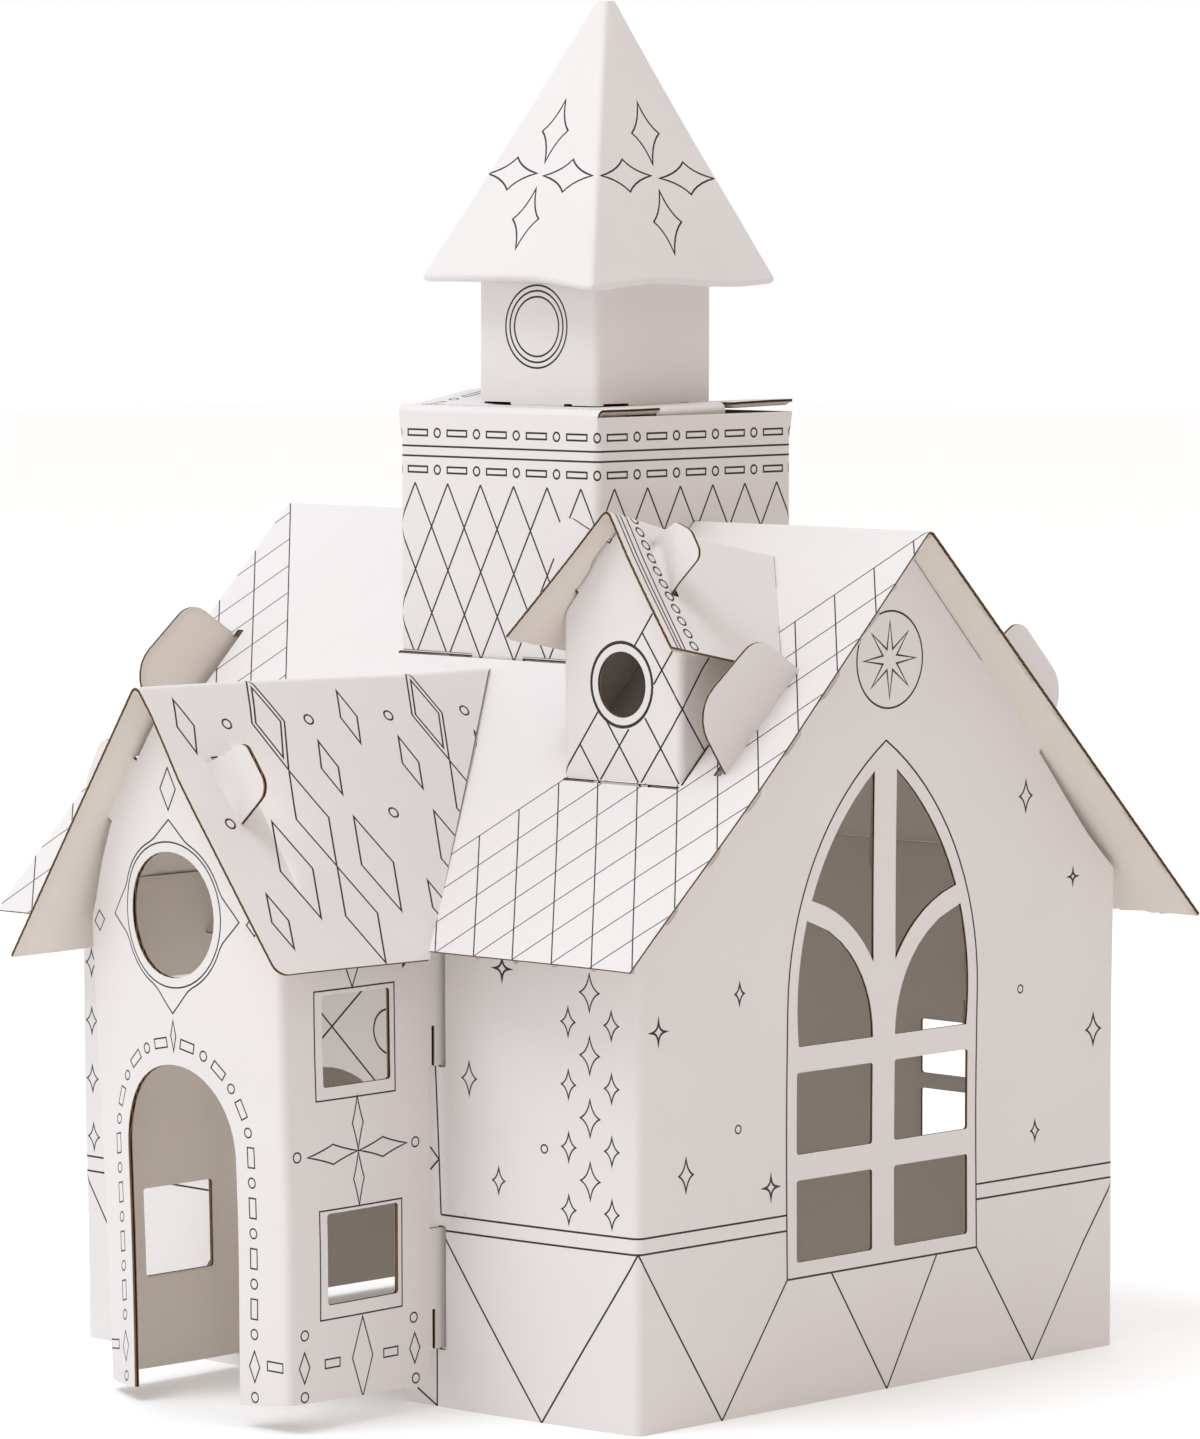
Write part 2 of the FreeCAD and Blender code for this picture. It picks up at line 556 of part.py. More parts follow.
def main():
    os.makedirs("parts", exist_ok=True)
    # the frame's origin is under the middle of the whole model's outline
    to_frame = V(0, -(PORCH_EAVE_FRONT + ROOF_EAVE) / 2, 0)
    for make in (main_walls, main_roof, porch_walls, porch_roof, dormer_walls, dormer_roof,
                 tower_base, tower_upper, spire):
        shape = make().removeSplitter()
        shape.translate(to_frame)
        box = shape.BoundBox
        print(make.__name__, len(shape.Solids), shape.isValid(), round(shape.Volume),
              [round(value, 2) for value in (box.XMin, box.YMin, box.ZMin, box.XMax, box.YMax, box.ZMax)])
        shape.exportStep("parts/" + make.__name__ + ".step")


main()
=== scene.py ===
"""Looks for a small house of folded, slotted, printed board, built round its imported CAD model.

Every piece is one sheet. It is drawn flat, with its windows, tabs and printed lines, and then folded
into place, so the print runs round the folds and every cut edge shows the board's fluted core.
Lengths are in millimetres, in the house's own frame: origin on the floor under the middle of the
four walls, X along the main ridge, the porch towards -Y. They turn into metres of the row's frame
in one place, `to_row`.
"""

from math import acos, atan2, cos, degrees, exp, hypot, pi, radians, sin, sqrt, tan

import bpy
from mathutils import Matrix, Vector, noise
from mathutils.geometry import delaunay_2d_cdt


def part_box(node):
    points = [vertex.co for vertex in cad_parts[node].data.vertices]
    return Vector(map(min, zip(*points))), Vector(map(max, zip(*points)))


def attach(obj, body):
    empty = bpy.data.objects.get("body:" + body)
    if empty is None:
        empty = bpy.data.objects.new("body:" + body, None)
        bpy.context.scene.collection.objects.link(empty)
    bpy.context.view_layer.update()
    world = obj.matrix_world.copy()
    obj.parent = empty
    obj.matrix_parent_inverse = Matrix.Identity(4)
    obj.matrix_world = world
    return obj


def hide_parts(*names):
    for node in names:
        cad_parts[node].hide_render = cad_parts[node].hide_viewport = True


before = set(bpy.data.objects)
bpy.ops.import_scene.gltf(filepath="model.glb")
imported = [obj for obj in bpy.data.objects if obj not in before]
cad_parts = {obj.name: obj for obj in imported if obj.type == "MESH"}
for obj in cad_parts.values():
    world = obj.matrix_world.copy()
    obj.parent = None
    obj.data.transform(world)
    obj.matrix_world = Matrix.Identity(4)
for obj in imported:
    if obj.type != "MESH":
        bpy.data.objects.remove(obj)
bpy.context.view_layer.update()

# ---------------------------------------------------------------- sizes

BOARD = 1.6
FOLD = 2.0              # radius of the outside of a fold
FIT = 0.3
SLOT = 0.45             # clearance that shows round a tab
SLIT = 0.9              # gap that shows where a wall stands in the roof
SEAM = BOARD + 0.1      # how much a sheet that closes on itself falls short of its last corner

walls_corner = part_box("main_walls")[1] * 1000
HALF_LENGTH = walls_corner.x
HALF_WIDTH = 86.5
CENTRE_Y = walls_corner.y - HALF_WIDTH      # the house's own origin, in the row's frame
WALL_HEIGHT = 124.8
FRONT_BOW = 6.0
BAND_TOP, BAND_LOW = 47.1, 43.3             # heights of the double line printed round the walls
BACK_WINDOW_X = 45.7

ROOF_PITCH = radians(44.5)
ROOF_RIDGE = 212.46
ROOF_HALF_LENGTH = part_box("main_roof")[1].x * 1000
ROOF_SLOPE = 145.0
# corners of a gable's tabs: down the slope from the ridge, out of the roof's upper face, radius
GABLE_TAB = ((46.0, -6.0, 0), (51.3, 16.6, 7.5), (78.4, 18.9, 9.0), (82.3, -6.0, 0))
BACK_GABLE_TAB = ((46.0, -6.0, 0), (50.5, 15.4, 5.5), (77.0, 15.9, 9.0), (81.0, -6.0, 0))
GABLE_SLOT = (46.6, 81.6)                   # how far down the slope their slots run

PORCH_HALF = 38.3
PORCH_FRONT = -143.0
PORCH_SIDE = 47.6
PORCH_TABS = ((14.5, 44.0), (83.5, 112.0))  # heights of the tabs behind each side
PORCH_LEAN = 0.0204                         # the porch front leans outward as it rises
PORCH_LEFT_TOP = 127.0                      # the left side reaches higher, and leans in under the roof
PORCH_RIDGE = 176.46
PORCH_PITCH = radians(54.3)
PORCH_SLOPE = 81.05
PORCH_EAVE_FRONT = -153.5
PORCH_GABLE_TAB = ((21.3, -5.0, 0), (24.0, 12.8, 3.0), (37.6, 12.8, 4.5), (39.6, -5.0, 0))
PORCH_TAB_BACK = 2.3    # how far the right tab leans back where it comes through the roof
DOOR_HALF, DOOR_SPRING = 21.2, 64.0
HALL_DOOR_HALF, HALL_DOOR_SPRING = 25.0, 54.6
ROUND_WINDOW, ROUND_WINDOW_Z = 15.2, 121.4
SIDE_WINDOW = 22.0

DORMER_AT = 68.7
DORMER_HALF = 19.75
DORMER_FRONT = -61.6
DORMER_SIDE = 61.6
DORMER_RIDGE = 217.46
DORMER_RIDGE_Y = -66.6
DORMER_FALL = radians(11.5)
DORMER_PITCH = radians(48.5)
DORMER_SLOPE = 42.0
DORMER_GABLE_TAB = ((6.8, -5.0, 0), (12.0, 12.0, 3.0), (16.5, 14.5, 4.0), (23.2, 13.4, 3.0),
                    (23.9, -5.0, 0))
DORMER_TAB_BACK = 4.4   # how far the top of the right tab leans back where it comes through the roof
DORMER_WINDOW, DORMER_WINDOW_X, DORMER_WINDOW_Z = 8.0, 0.3, 175.6
DORMER_RING = 10.2      # radius of the ring printed round its window

TOWER_HALF = 35.3
TOWER_TOP = 238.3
LID_TOP = 240.2
TONGUE_HALF = 12.5
BELFRY_HALF = 20.5
SPIRE_HALF, SPIRE_EAVE = 31.0, 271.2
SPIRE_TIP_HALF, SPIRE_TIP = 2.0, 341.8
SPIRE_TWIST = 0.032

RIM = 1.2               # width of the rim that the knife crushes along a cut
CRUSHED = 0.8           # thickness left there
FINE = 0.40             # width of a fine printed line
LINE = 0.50             # width of an ordinary printed line
ROOF_LINE = 0.36
GRID = 9.0              # spacing of the mesh lines on a flat panel


# ---------------------------------------------------------------- flat shapes
#
# Outlines are lists of (x, y) points on the flat sheet. The bare numbers in the print functions are
# such places and sizes, read off the photograph; those in the warp functions say how far the real
# board strays, and between which places on the sheet.

def arc(x, y, radius, start, end, steps=12):
    """Points along a circular arc, angles in degrees."""
    turns = [radians(start + (end - start) * i / steps) for i in range(steps + 1)]
    return [(x + radius * cos(t), y + radius * sin(t)) for t in turns]


def circle(x, y, radius, steps=16):
    return arc(x, y, radius, 0, 360, steps)[:-1]


def rectangle(low_x, low_y, high_x, high_y, radius=0.0):
    return rounded([(low_x, low_y, radius), (high_x, low_y, radius),
                    (high_x, high_y, radius), (low_x, high_y, radius)])


def block(x, y, half_x, half_y, radius=0.0):
    """Rectangle given by its middle."""
    return rectangle(x - half_x, y - half_y, x + half_x, y + half_y, radius)


def rounded(corners, steps=6):
    """Closed outline through (x, y, radius) corners, each corner rounded to its radius."""
    points = []
    for i, (x, y, radius) in enumerate(corners):
        here = Vector((x, y))
        if radius == 0:
            points.append((x, y))
            continue
        back = (Vector(corners[i - 1][:2]) - here).normalized()
        ahead = (Vector(corners[(i + 1) % len(corners)][:2]) - here).normalized()
        half = acos(max(-1, min(1, back.dot(ahead)))) / 2
        centre = here + (back + ahead).normalized() * (radius / sin(half))
        start = here + back * (radius / tan(half)) - centre
        end = here + ahead * (radius / tan(half)) - centre
        turn = start.angle_signed(end)
        for k in range(steps + 1):
            points.append(tuple(centre + Matrix.Rotation(-turn * k / steps, 2) @ start))
    return points


def star(x, y, tip, inner, count):
    """Star outline with its first tip straight up."""
    turns = [radians(90 + 180 * i / count) for i in range(2 * count)]
    return [(x + radius * cos(t), y + radius * sin(t)) for t, radius in zip(turns, (tip, inner) * count)]


def sparkle(x, y, half_width, half_height, steps=5, pinch=0.42):
    """Four-pointed outline with sides that curve inwards."""
    points = []
    tips = [(0, half_height), (half_width, 0), (0, -half_height), (-half_width, 0)]
    for i, (ax, ay) in enumerate(tips):
        bx, by = tips[(i + 1) % 4]
        cx, cy = (ax + bx) / 2 * pinch, (ay + by) / 2 * pinch
        for k in range(steps):
            t = k / steps
            a, c, b = (1 - t) ** 2, 2 * t * (1 - t), t ** 2
            points.append((x + (a * ax + c * cx + b * bx), y + (a * ay + c * cy + b * by)))
    return points


def diamond(x, y, half_width, half_height):
    return [(x, y + half_height), (x + half_width, y), (x, y - half_height), (x - half_width, y)]


def stroke(outline, width=LINE):
    """Quads that follow a closed outline, with mitred corners."""
    points = [Vector(p) for p in outline]
    sides = []
    for i, here in enumerate(points):
        one = (here - points[i - 1]).normalized()
        two = (points[(i + 1) % len(points)] - here).normalized()
        across = (one + two).orthogonal().normalized()
        reach = across * (width / 2 / max(across.dot(one.orthogonal()), 1 / 3))
        sides.append((tuple(here + reach), tuple(here - reach)))
    return [[*a, *b[::-1]] for a, b in zip(sides, sides[1:] + sides[:1])]


def strokes(outlines, width=FINE):
    """The quads of several closed outlines."""
    return [quad for outline in outlines for quad in stroke(outline, width)]


def lines(*runs, width=LINE):
    """Separate straight strokes from each point of a run to its next."""
    quads = []
    for run in runs:
        for start, end in zip(run, run[1:]):
            a, b = Vector(start), Vector(end)
            reach = (b - a).orthogonal().normalized() * (width / 2)
            quads.append([tuple(p) for p in (a + reach, a - reach, b - reach, b + reach)])
    return quads


def turns_left(shape):
    """Whether an outline runs anticlockwise."""
    return sum(x1 * y2 - x2 * y1 for (x1, y1), (x2, y2) in zip(shape, shape[1:] + shape[:1])) > 0


def moved(shapes, to_flat):
    """The same outlines, each point carried by to_flat(x, y)."""
    return [[to_flat(x, y) for x, y in shape] for shape in shapes]


def shifted(shapes, to_u, way=1):
    """The same outlines moved along u, or mirrored as well where way is -1."""
    return moved(shapes, lambda x, y: (to_u + way * x, y))


def side_tab(edge, reach, low, high):
    """Tab with rounded corners that sticks out past an upright edge."""
    root, end = edge - 3, edge + reach
    return rounded([(root, low, 0), (end, low, 3), (end, high, 3), (root, high, 0)])


def foot_tab(middle, foot, deep=7):
    """Tab under a wall."""
    return rectangle(middle - 9, foot - deep, middle + 9, foot + 3)


def on_slope(shapes, ridge_u, side, front=0.0):
    """Outlines of (distance behind a roof's front edge, down from its ridge), put on its flat sheet."""
    return moved(shapes, lambda back, s: (ridge_u - side * s, front - back))


def gable_tabs(tab, pitch, ridge):
    """The two tabs of a gable, (across, z) from the gable's middle, one through each slope."""
    outline = [(along * cos(pitch) + out * sin(pitch), ridge - along * sin(pitch) + out * cos(pitch))
               for along, out in rounded(tab)]
    return [outline, *shifted([outline], 0, -1)]


def roof_tab(rear, low, high, start, reach):
    """Tab behind a roof's rear edge, (back, down from the ridge); rear(s) is that edge."""
    return [(rear(s) + start, s) for s in (low, high)] + [(rear(s) + reach, s) for s in (high, low)]


# ---------------------------------------------------------------- folding

class Bend:
    """Straight panels seen edge on, with rounded folds between them.

    Distances along it are those of the sharp corners, so what is printed keeps its place however
    round a fold is. The outside is on the right of the way it runs.
    """

    def __init__(self, corners, radius=FOLD):
        self.corners = [Vector(corner) for corner in corners]
        self.starts = [0.0]
        for a, b in zip(self.corners, self.corners[1:]):
            self.starts.append(self.starts[-1] + (b - a).length)
        self.folds = []
        for i in range(1, len(self.corners) - 1):
            one = (self.corners[i] - self.corners[i - 1]).normalized()
            two = (self.corners[i + 1] - self.corners[i]).normalized()
            turn = atan2(one.cross(two), one.dot(two))
            self.folds.append((self.starts[i], self.corners[i], one, turn, radius * tan(turn / 2), radius))

    def at(self, distance, tighten=1.0):
        """Point at a distance along it; it runs on straight past its ends.

        tighten scales the radius of the folds."""
        for where, corner, way, turn, reach, radius in self.folds:
            reach, radius = reach * tighten, radius * tighten
            if abs(distance - where) < reach:
                part = (distance - where + reach) / (2 * reach)
                out = Vector((way.y, -way.x))
                centre = corner - way * reach - out * radius
                return centre + Matrix.Rotation(turn * part, 2) @ out * radius
        i = 0
        while i < len(self.starts) - 2 and distance > self.starts[i + 1]:
            i += 1
        way = (self.corners[i + 1] - self.corners[i]).normalized()
        return self.corners[i] + way * (distance - self.starts[i])

    def marks(self):
        """Distances where the mesh needs a line, so that each fold comes out round."""
        return [where + reach * (k / 3 - 1) for where, _, _, _, reach, _ in self.folds for k in range(7)]


def four_walls(half_x, half_y, radius=FOLD):
    """Plan of walls from the back left corner round by the front."""
    left, right, front, back = -half_x, half_x, -half_y, half_y
    return Bend([(left, back), (left, front), (right, front), (right, back), (left, back)], radius)


def three_walls(middle, half, front, side):
    """Plan of a left side, a front and a right side."""
    return Bend([(middle - half, front + side), (middle - half, front),
                 (middle + half, front), (middle + half, front + side)])


def two_slopes(slope, pitch):
    """Section of a roof with its ridge at (0, 0), from the right-hand eave to the left-hand one."""
    across, down = slope * cos(pitch), -slope * sin(pitch)
    return Bend([(across, down), (0, 0), (-across, down)])


def upright(plan):
    """Folds a sheet that stands on end: u along the plan, v up."""
    return lambda u, v: Vector((*plan.at(u), v))


def spread(low, high, spacing=GRID):
    """Evenly spaced values strictly between two limits."""
    count = max(int((high - low) / spacing), 1)
    return [low + (high - low) * k / count for k in range(1, count)]


def ripple(point, size, seed):
    """Small smooth wander of a board surface, -1 to 1."""
    return noise.noise(Vector((point.x / size + seed, point.y / size - seed, point.z / size + 2 * seed)))


def clamp(value):
    return max(0.0, min(1.0, value))


def ease(low, high, value):
    """0 below low, 1 above high, smooth in between."""
    part = clamp((value - low) / (high - low))
    return part * part * (3 - 2 * part)


def to_row(point):
    return Vector((point.x, point.y + CENTRE_Y, point.z)) / 1000


# ---------------------------------------------------------------- materials

class Graph:
    """The node tree of a material or a world. Each method that adds a node gives back its output."""

    def __init__(self, owner):
        owner.use_nodes = True
        self.owner = owner
        self.tree = owner.node_tree

    def fill(self, node, inputs):
        """Sets inputs to constants, or links them to other nodes' outputs."""
        for key, value in inputs.items():
            if isinstance(value, bpy.types.NodeSocket):
                self.tree.links.new(value, node.inputs[key])
            else:
                node.inputs[key].default_value = value

    def add(self, kind, output, inputs=None, **settings):
        node = self.tree.nodes.new("ShaderNode" + kind)
        for key, value in settings.items():
            setattr(node, key, value)
        self.fill(node, inputs or {})
        return node.outputs[output]

    def maths(self, operation, *values, **settings):
        return self.add("Math", "Value", dict(enumerate(values)), operation=operation, **settings)

    def remap(self, value, low, high, most=1.0):
        """0 at low, most at high."""
        limits = {"From Min": low, "From Max": high, "To Max": most}
        return self.add("MapRange", "Result", {"Value": value, **limits})

    def mix(self, a, b, factor, blend="MIX"):
        inputs = {"A": a, "B": b, "Factor": factor}
        return self.add("Mix", "Result", inputs, data_type="RGBA", blend_type=blend)

    def split(self, vector, axis):
        return self.add("SeparateXYZ", axis, {"Vector": vector})

    def place(self):
        return self.add("TexCoord", "Object")

    def map(self, name):
        return self.add("UVMap", "UV", uv_map=name)

    def grain(self, scale, detail=2.0):
        return self.add("TexNoise", "Fac", {"Vector": self.place(), "Scale": scale, "Detail": detail})

    def surface(self, **inputs):
        """Finishes a material with its surface shader's inputs, an underscore for each space."""
        named = {key.replace("_", " "): value for key, value in inputs.items()}
        self.fill(self.tree.nodes["Principled BSDF"], named)
        return self.owner


def material(name):
    return Graph(bpy.data.materials.new(name))


def opaque(red, green, blue):
    return (red, green, blue, 1)


def paper(name, colour, fleck_colour, rough):
    """Matt paper liner: faint mottling, tiny flecks and the ghost of the flutes behind it."""
    made = material(name)
    mottle = made.remap(made.grain(26.0, 4.0), 0.3, 0.7)
    tint = made.mix(opaque(*(c * 0.975 for c in colour)), opaque(*colour), mottle)
    cells = made.add("TexVoronoi", "Distance", {"Vector": made.place(), "Scale": 120.0})
    few = made.remap(made.grain(60.0), 0.62, 0.66, 0.5)
    specks = made.maths("MULTIPLY", made.remap(cells, 0.035, 0.02), few)
    flecked = made.mix(tint, opaque(*fleck_colour), specks)
    flutes = made.add("TexWave", "Fac", {"Vector": made.map("flat"), "Scale": 12.0, "Distortion": 0.6})
    relief = made.add("Mix", "Result", {"Factor": 0.5, "A": flutes, "B": made.grain(900.0, 3.0)})
    bump = made.add("Bump", "Normal", {"Strength": 0.06, "Distance": 0.0004, "Height": relief})
    return made.surface(Base_Color=flecked, Roughness=rough, Specular_IOR_Level=0.25, Normal=bump)


def ink_material():
    """Dark printing ink, a little thin where the paper's fibres show through."""
    made = material("ink")
    tone = made.mix(opaque(0.012, 0.010, 0.010), opaque(0.045, 0.040, 0.038), made.grain(500.0))
    return made.surface(Base_Color=tone, Roughness=0.55, Specular_IOR_Level=0.3)


def edge_material():
    """Cut edge of corrugated board: two pale liners with the brown wave of the flute medium between, and
    near-black painted shade for the hollow channels either side of the wave.
    """
    made = material("cut_edge")
    flute_length = 2.6
    along = made.split(made.map("flat"), "X")
    across = made.split(made.map("depth"), "Y")
    wave = made.maths("SINE", made.maths("MULTIPLY", along, 2 * pi * 100 / flute_length))
    core = made.maths("ADD", made.maths("MULTIPLY", wave, 0.3), 0.5)
    flute = made.maths("LESS_THAN", made.maths("ABSOLUTE", made.maths("SUBTRACT", across, core)), 0.15)
    from_middle = made.maths("ABSOLUTE", made.maths("SUBTRACT", across, 0.5))
    liner = made.maths("GREATER_THAN", from_middle, 0.36)
    # the near-black base is painted shade for the hollow channels of the core; the brown is the flute
    # medium itself
    flute_and_hollow_shade = made.mix(opaque(0.03, 0.018, 0.009), opaque(0.26, 0.15, 0.075), flute)
    faced = made.mix(flute_and_hollow_shade, opaque(0.56, 0.44, 0.32), liner)
    worn = made.mix(faced, made.grain(260.0), 0.5, "MULTIPLY")
    return made.surface(Base_Color=worn, Roughness=0.9, Specular_IOR_Level=0.1)


# in the order of the faces' kinds
OUTSIDE, INK, INSIDE, EDGE = range(4)
# the inside liner is the same white paper as the outside; its warmer, browner tint is painted warm shade
# for the dim inside of the house
MATERIALS = (paper("paper_outside", (0.745, 0.708, 0.703), (0.42, 0.38, 0.34), 0.62), ink_material(),
             paper("paper_inside_warm_shade", (0.755, 0.692, 0.632), (0.35, 0.29, 0.24), 0.7), edge_material())


# ---------------------------------------------------------------- one sheet of board

def rim(shape, side):
    """Line that runs RIM inside an outline of board (side 0) or round a hole in it (side 1)."""
    shape = shape if turns_left(shape) else shape[::-1]
    return [quad[side] for quad in stroke(shape, 2 * RIM)]


def cut_flat(solid, holes, ink, marks_u, marks_v):
    """Mesh of the flat sheet: its points, and for each triangle of board whether it is inked."""
    shapes = solid + holes + ink
    all_u, all_v = zip(*(point for outline in solid for point in outline))
    points, faces, edges = [], [], []
    for shape in shapes:
        faces.append(list(range(len(points), len(points) + len(shape))))
        points += [Vector(p) for p in (shape if turns_left(shape) else reversed(shape))]
    guides = [((u, min(all_v) - 1), (u, max(all_v) + 1)) for u in marks_u]
    guides += [((min(all_u) - 1, v), (max(all_u) + 1, v)) for v in marks_v]
    for guide in guides:
        edges.append((len(points), len(points) + 1))
        points += [Vector(end) for end in guide]
    for side, outlines in enumerate((solid, holes)):
        for outline in outlines:
            line = rim(outline, side)
            edges += [(len(points) + k, len(points) + (k + 1) % len(line)) for k in range(len(line))]
            points += [Vector(p) for p in line]
    flat, _, triangles, _, _, origin = delaunay_2d_cdt(points, edges, faces, 0, 1e-4, True)

    first_hole, first_ink = len(solid), len(solid) + len(holes)
    kept = []
    for triangle, owners in zip(triangles, origin):
        on_board = any(o < first_hole for o in owners)
        cut = any(first_hole <= o < first_ink for o in owners)
        if on_board and not cut:
            kept.append((tuple(triangle), any(o >= first_ink for o in owners)))
    return flat, kept


def sheet(name, node, solid, holes, ink, place, warp, marks_u, marks_v, crushed=lambda u: CRUSHED):
    """Builds one folded sheet of board as a closed mesh and puts it in the CAD node's place.

    solid, holes and ink are lists of outlines in the flat sheet. place(u, v) folds a flat point and
    gives it in the house's frame; warp then bends it as the real thing is bent. marks_u and marks_v
    are where mesh lines run across the sheet. crushed(u) is the thickness the knife leaves at a cut,
    where it crushes a narrow rim of the board.
    """
    flat, kept = cut_flat(solid, holes, ink, marks_u, marks_v)

    def folded(u, v):
        return warp(place(u, v), u, v)

    used = sorted({i for triangle, _ in kept for i in triangle})
    index = {old: new for new, old in enumerate(used)}
    step = 0.02
    outer, normals = [], []
    for i in used:
        u, v = flat[i]
        along = folded(u + step, v) - folded(u - step, v)
        up = folded(u, v + step) - folded(u, v - step)
        outer.append(folded(u, v))
        normals.append(along.cross(up).normalized())
    count = len(outer)

    mesh_faces, kinds, smooth = [], [], []
    border = set()
    for triangle, inked in kept:
        a, b, c = (index[i] for i in triangle)
        if (flat[triangle[1]] - flat[triangle[0]]).cross(flat[triangle[2]] - flat[triangle[0]]) < 0:
            b, c = c, b
        mesh_faces += [(a, b, c), (c + count, b + count, a + count)]
        kinds += [INK if inked else OUTSIDE, INSIDE]
        smooth += [normals[a], normals[b], normals[c], -normals[c], -normals[b], -normals[a]]
        for pair in ((a, b), (b, c), (c, a)):
            if pair[::-1] in border:
                border.remove(pair[::-1])
            else:
                border.add(pair)
    border = sorted(border)
    thick = [BOARD] * count
    for a, b in border:
        thick[a], thick[b] = crushed(flat[used[a]].x), crushed(flat[used[b]].x)
        mesh_faces.append((b, a, a + count, b + count))
        kinds.append(EDGE)
        across = (outer[b] - outer[a]).cross(normals[a])
        across = across.normalized() if across.length > 1e-9 else Vector((0, 0, 1))
        smooth += [across] * 4
    inner = [p - n * t for p, n, t in zip(outer, normals, thick)]

    mesh = bpy.data.meshes.new(name)
    mesh.from_pydata([to_row(p) for p in outer + inner], [], mesh_faces)
    for used_material in MATERIALS:
        mesh.materials.append(used_material)
    mesh.polygons.foreach_set("material_index", kinds)
    mesh.polygons.foreach_set("use_smooth", [True] * len(kinds))
    layer = mesh.uv_layers.new(name="flat")
    depth = mesh.uv_layers.new(name="depth")
    for loop in mesh.loops:
        inside, corner = divmod(loop.vertex_index, count)
        layer.data[loop.index].uv = flat[used[corner]] / 100
        depth.data[loop.index].uv = (0, inside)
    mesh.normals_split_custom_set([tuple(n) for n in smooth])
    mesh.update()
    piece = bpy.data.objects.new(name, mesh)
    bpy.context.scene.collection.objects.link(piece)
    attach(piece, "root")
    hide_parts(node)


# ---------------------------------------------------------------- main walls

WIDTH, LENGTH = 2 * HALF_WIDTH, 2 * HALF_LENGTH
LEFT_U = HALF_WIDTH                         # flat positions of the four walls' middles
FRONT_U = WIDTH + HALF_LENGTH
GABLE_U = WIDTH + LENGTH + HALF_WIDTH
BACK_U = 2 * WIDTH + LENGTH + HALF_LENGTH
AROUND = 2 * WIDTH + 2 * LENGTH


def bow(x):
    """How far the front wall bellies out at x: less on the left of the porch door than on its right."""
    return FRONT_BOW * (1 - (x / HALF_LENGTH) ** 2) * (1 - 0.7 * ease(5, 38, -x))


def gable_lean(y, z):
    """How far the right gable stands out at a height: most in the middle, near the top."""
    return 4.8 * max(0.0, (z - 60) / 150) ** 1.5 * (1 - (y / 110) ** 2)


def lancet_panes():
    """The eight panes of a lancet window, drawn with the middle of the gable at x = 0.

    The window's side is an arc about (side, spring); the bar across its head is one about (head, low)."""
    inner, outer, corner = 4.0, 31.3, 0.8
    side, spring, radius = -40.4, 97.0, 71.7
    head, low, bar = 35.4, 87.7, 31.4
    thick = bar + 5.0

    def side_x(z):
        return side + sqrt(radius ** 2 - (z - spring) ** 2)

    def under_bar(z, reach=bar):
        return head - sqrt(max(reach ** 2 - (z - low) ** 2, 0))

    def over_bar(z):
        return under_bar(z, thick)

    def meeting(bar_x):
        """Height where the bar runs into the window's side."""
        bottom, top = low, spring + 50
        for _ in range(40):
            z = (bottom + top) / 2
            if bar_x(z) < side_x(z):
                bottom = z
            else:
                top = z
        return bottom

    def run(x_at, start, end, steps=10):
        heights = [start + (end - start) * k / steps for k in range(steps + 1)]
        return [(x_at(z), z) for z in heights]

    lower, upper = meeting(under_bar), meeting(over_bar)
    start = low + sqrt(thick ** 2 - (head - inner) ** 2)
    tip = spring + sqrt(radius ** 2 - (inner - side) ** 2)
    panes = [rectangle(inner, 35.1, outer, 55.1, corner), rectangle(inner, 61.4, outer, 81.4, corner),
             [(inner + 0.02, low)] + run(side_x, low, lower) + run(under_bar, lower - 0.05, low + 0.5),
             [(inner, start)] + run(over_bar, start + 0.3, upper - 0.05) + run(side_x, upper, tip)]
    return panes + shifted(panes, 0, -1)


def lancet_outline():
    half, sill, spring, centre, radius = 34.7, 31.3, 97.0, -40.7, 75.4
    right = arc(centre, spring, radius, 0, degrees(acos(-centre / radius)), 16)
    return [(-half, sill), (half, sill)] + right + [(-x, z) for x, z in reversed(right[:-1])]


def round_sparkle(x, z, half):
    return stroke(sparkle(x, z, half, half + 0.3, 8, pinch=-0.05), LINE * 1.15)


def gable_print():
    """Lines printed on a gable, x across it and z up."""
    shapes = strokes([lancet_outline(), circle(1.1, 180.2, 11.9, 48), star(1.1, 180.2, 9.3, 2.7, 8)], LINE)
    for x, z, half in ((-79.7, 95.8, 2.9), (-40.4, 54.5, 2.9), (71.0, 121.6, 1.8)):
        shapes += round_sparkle(x, z, half)
    for x, z, height in ((-51.7, 102.5, 5.2), (-70, 60.6, 8.1), (52.3, 143.3, 7.8),
                         (79.2, 81.9, 7.9), (57.1, 58.3, 5.0)):
        shapes += stroke(sparkle(x, z, height * 0.3, height / 2))
    shapes += strokes([circle(-51.9, 69.8, 1.0), circle(51.2, 94.7, 1.0)])
    for side, foot in ((1, 56.2), (-1, 57.7)):
        shapes += lines(*[((side * 34.7, z), (side * HALF_WIDTH, z)) for z in (BAND_TOP, BAND_LOW)])
        shapes += lines(((side * HALF_WIDTH, BAND_LOW), (side * foot, 0), (side * 34.7, 31.3)))
    return shapes + lines(((-18.9, 31.3), (1.4, 0), (19.9, 31.3)))


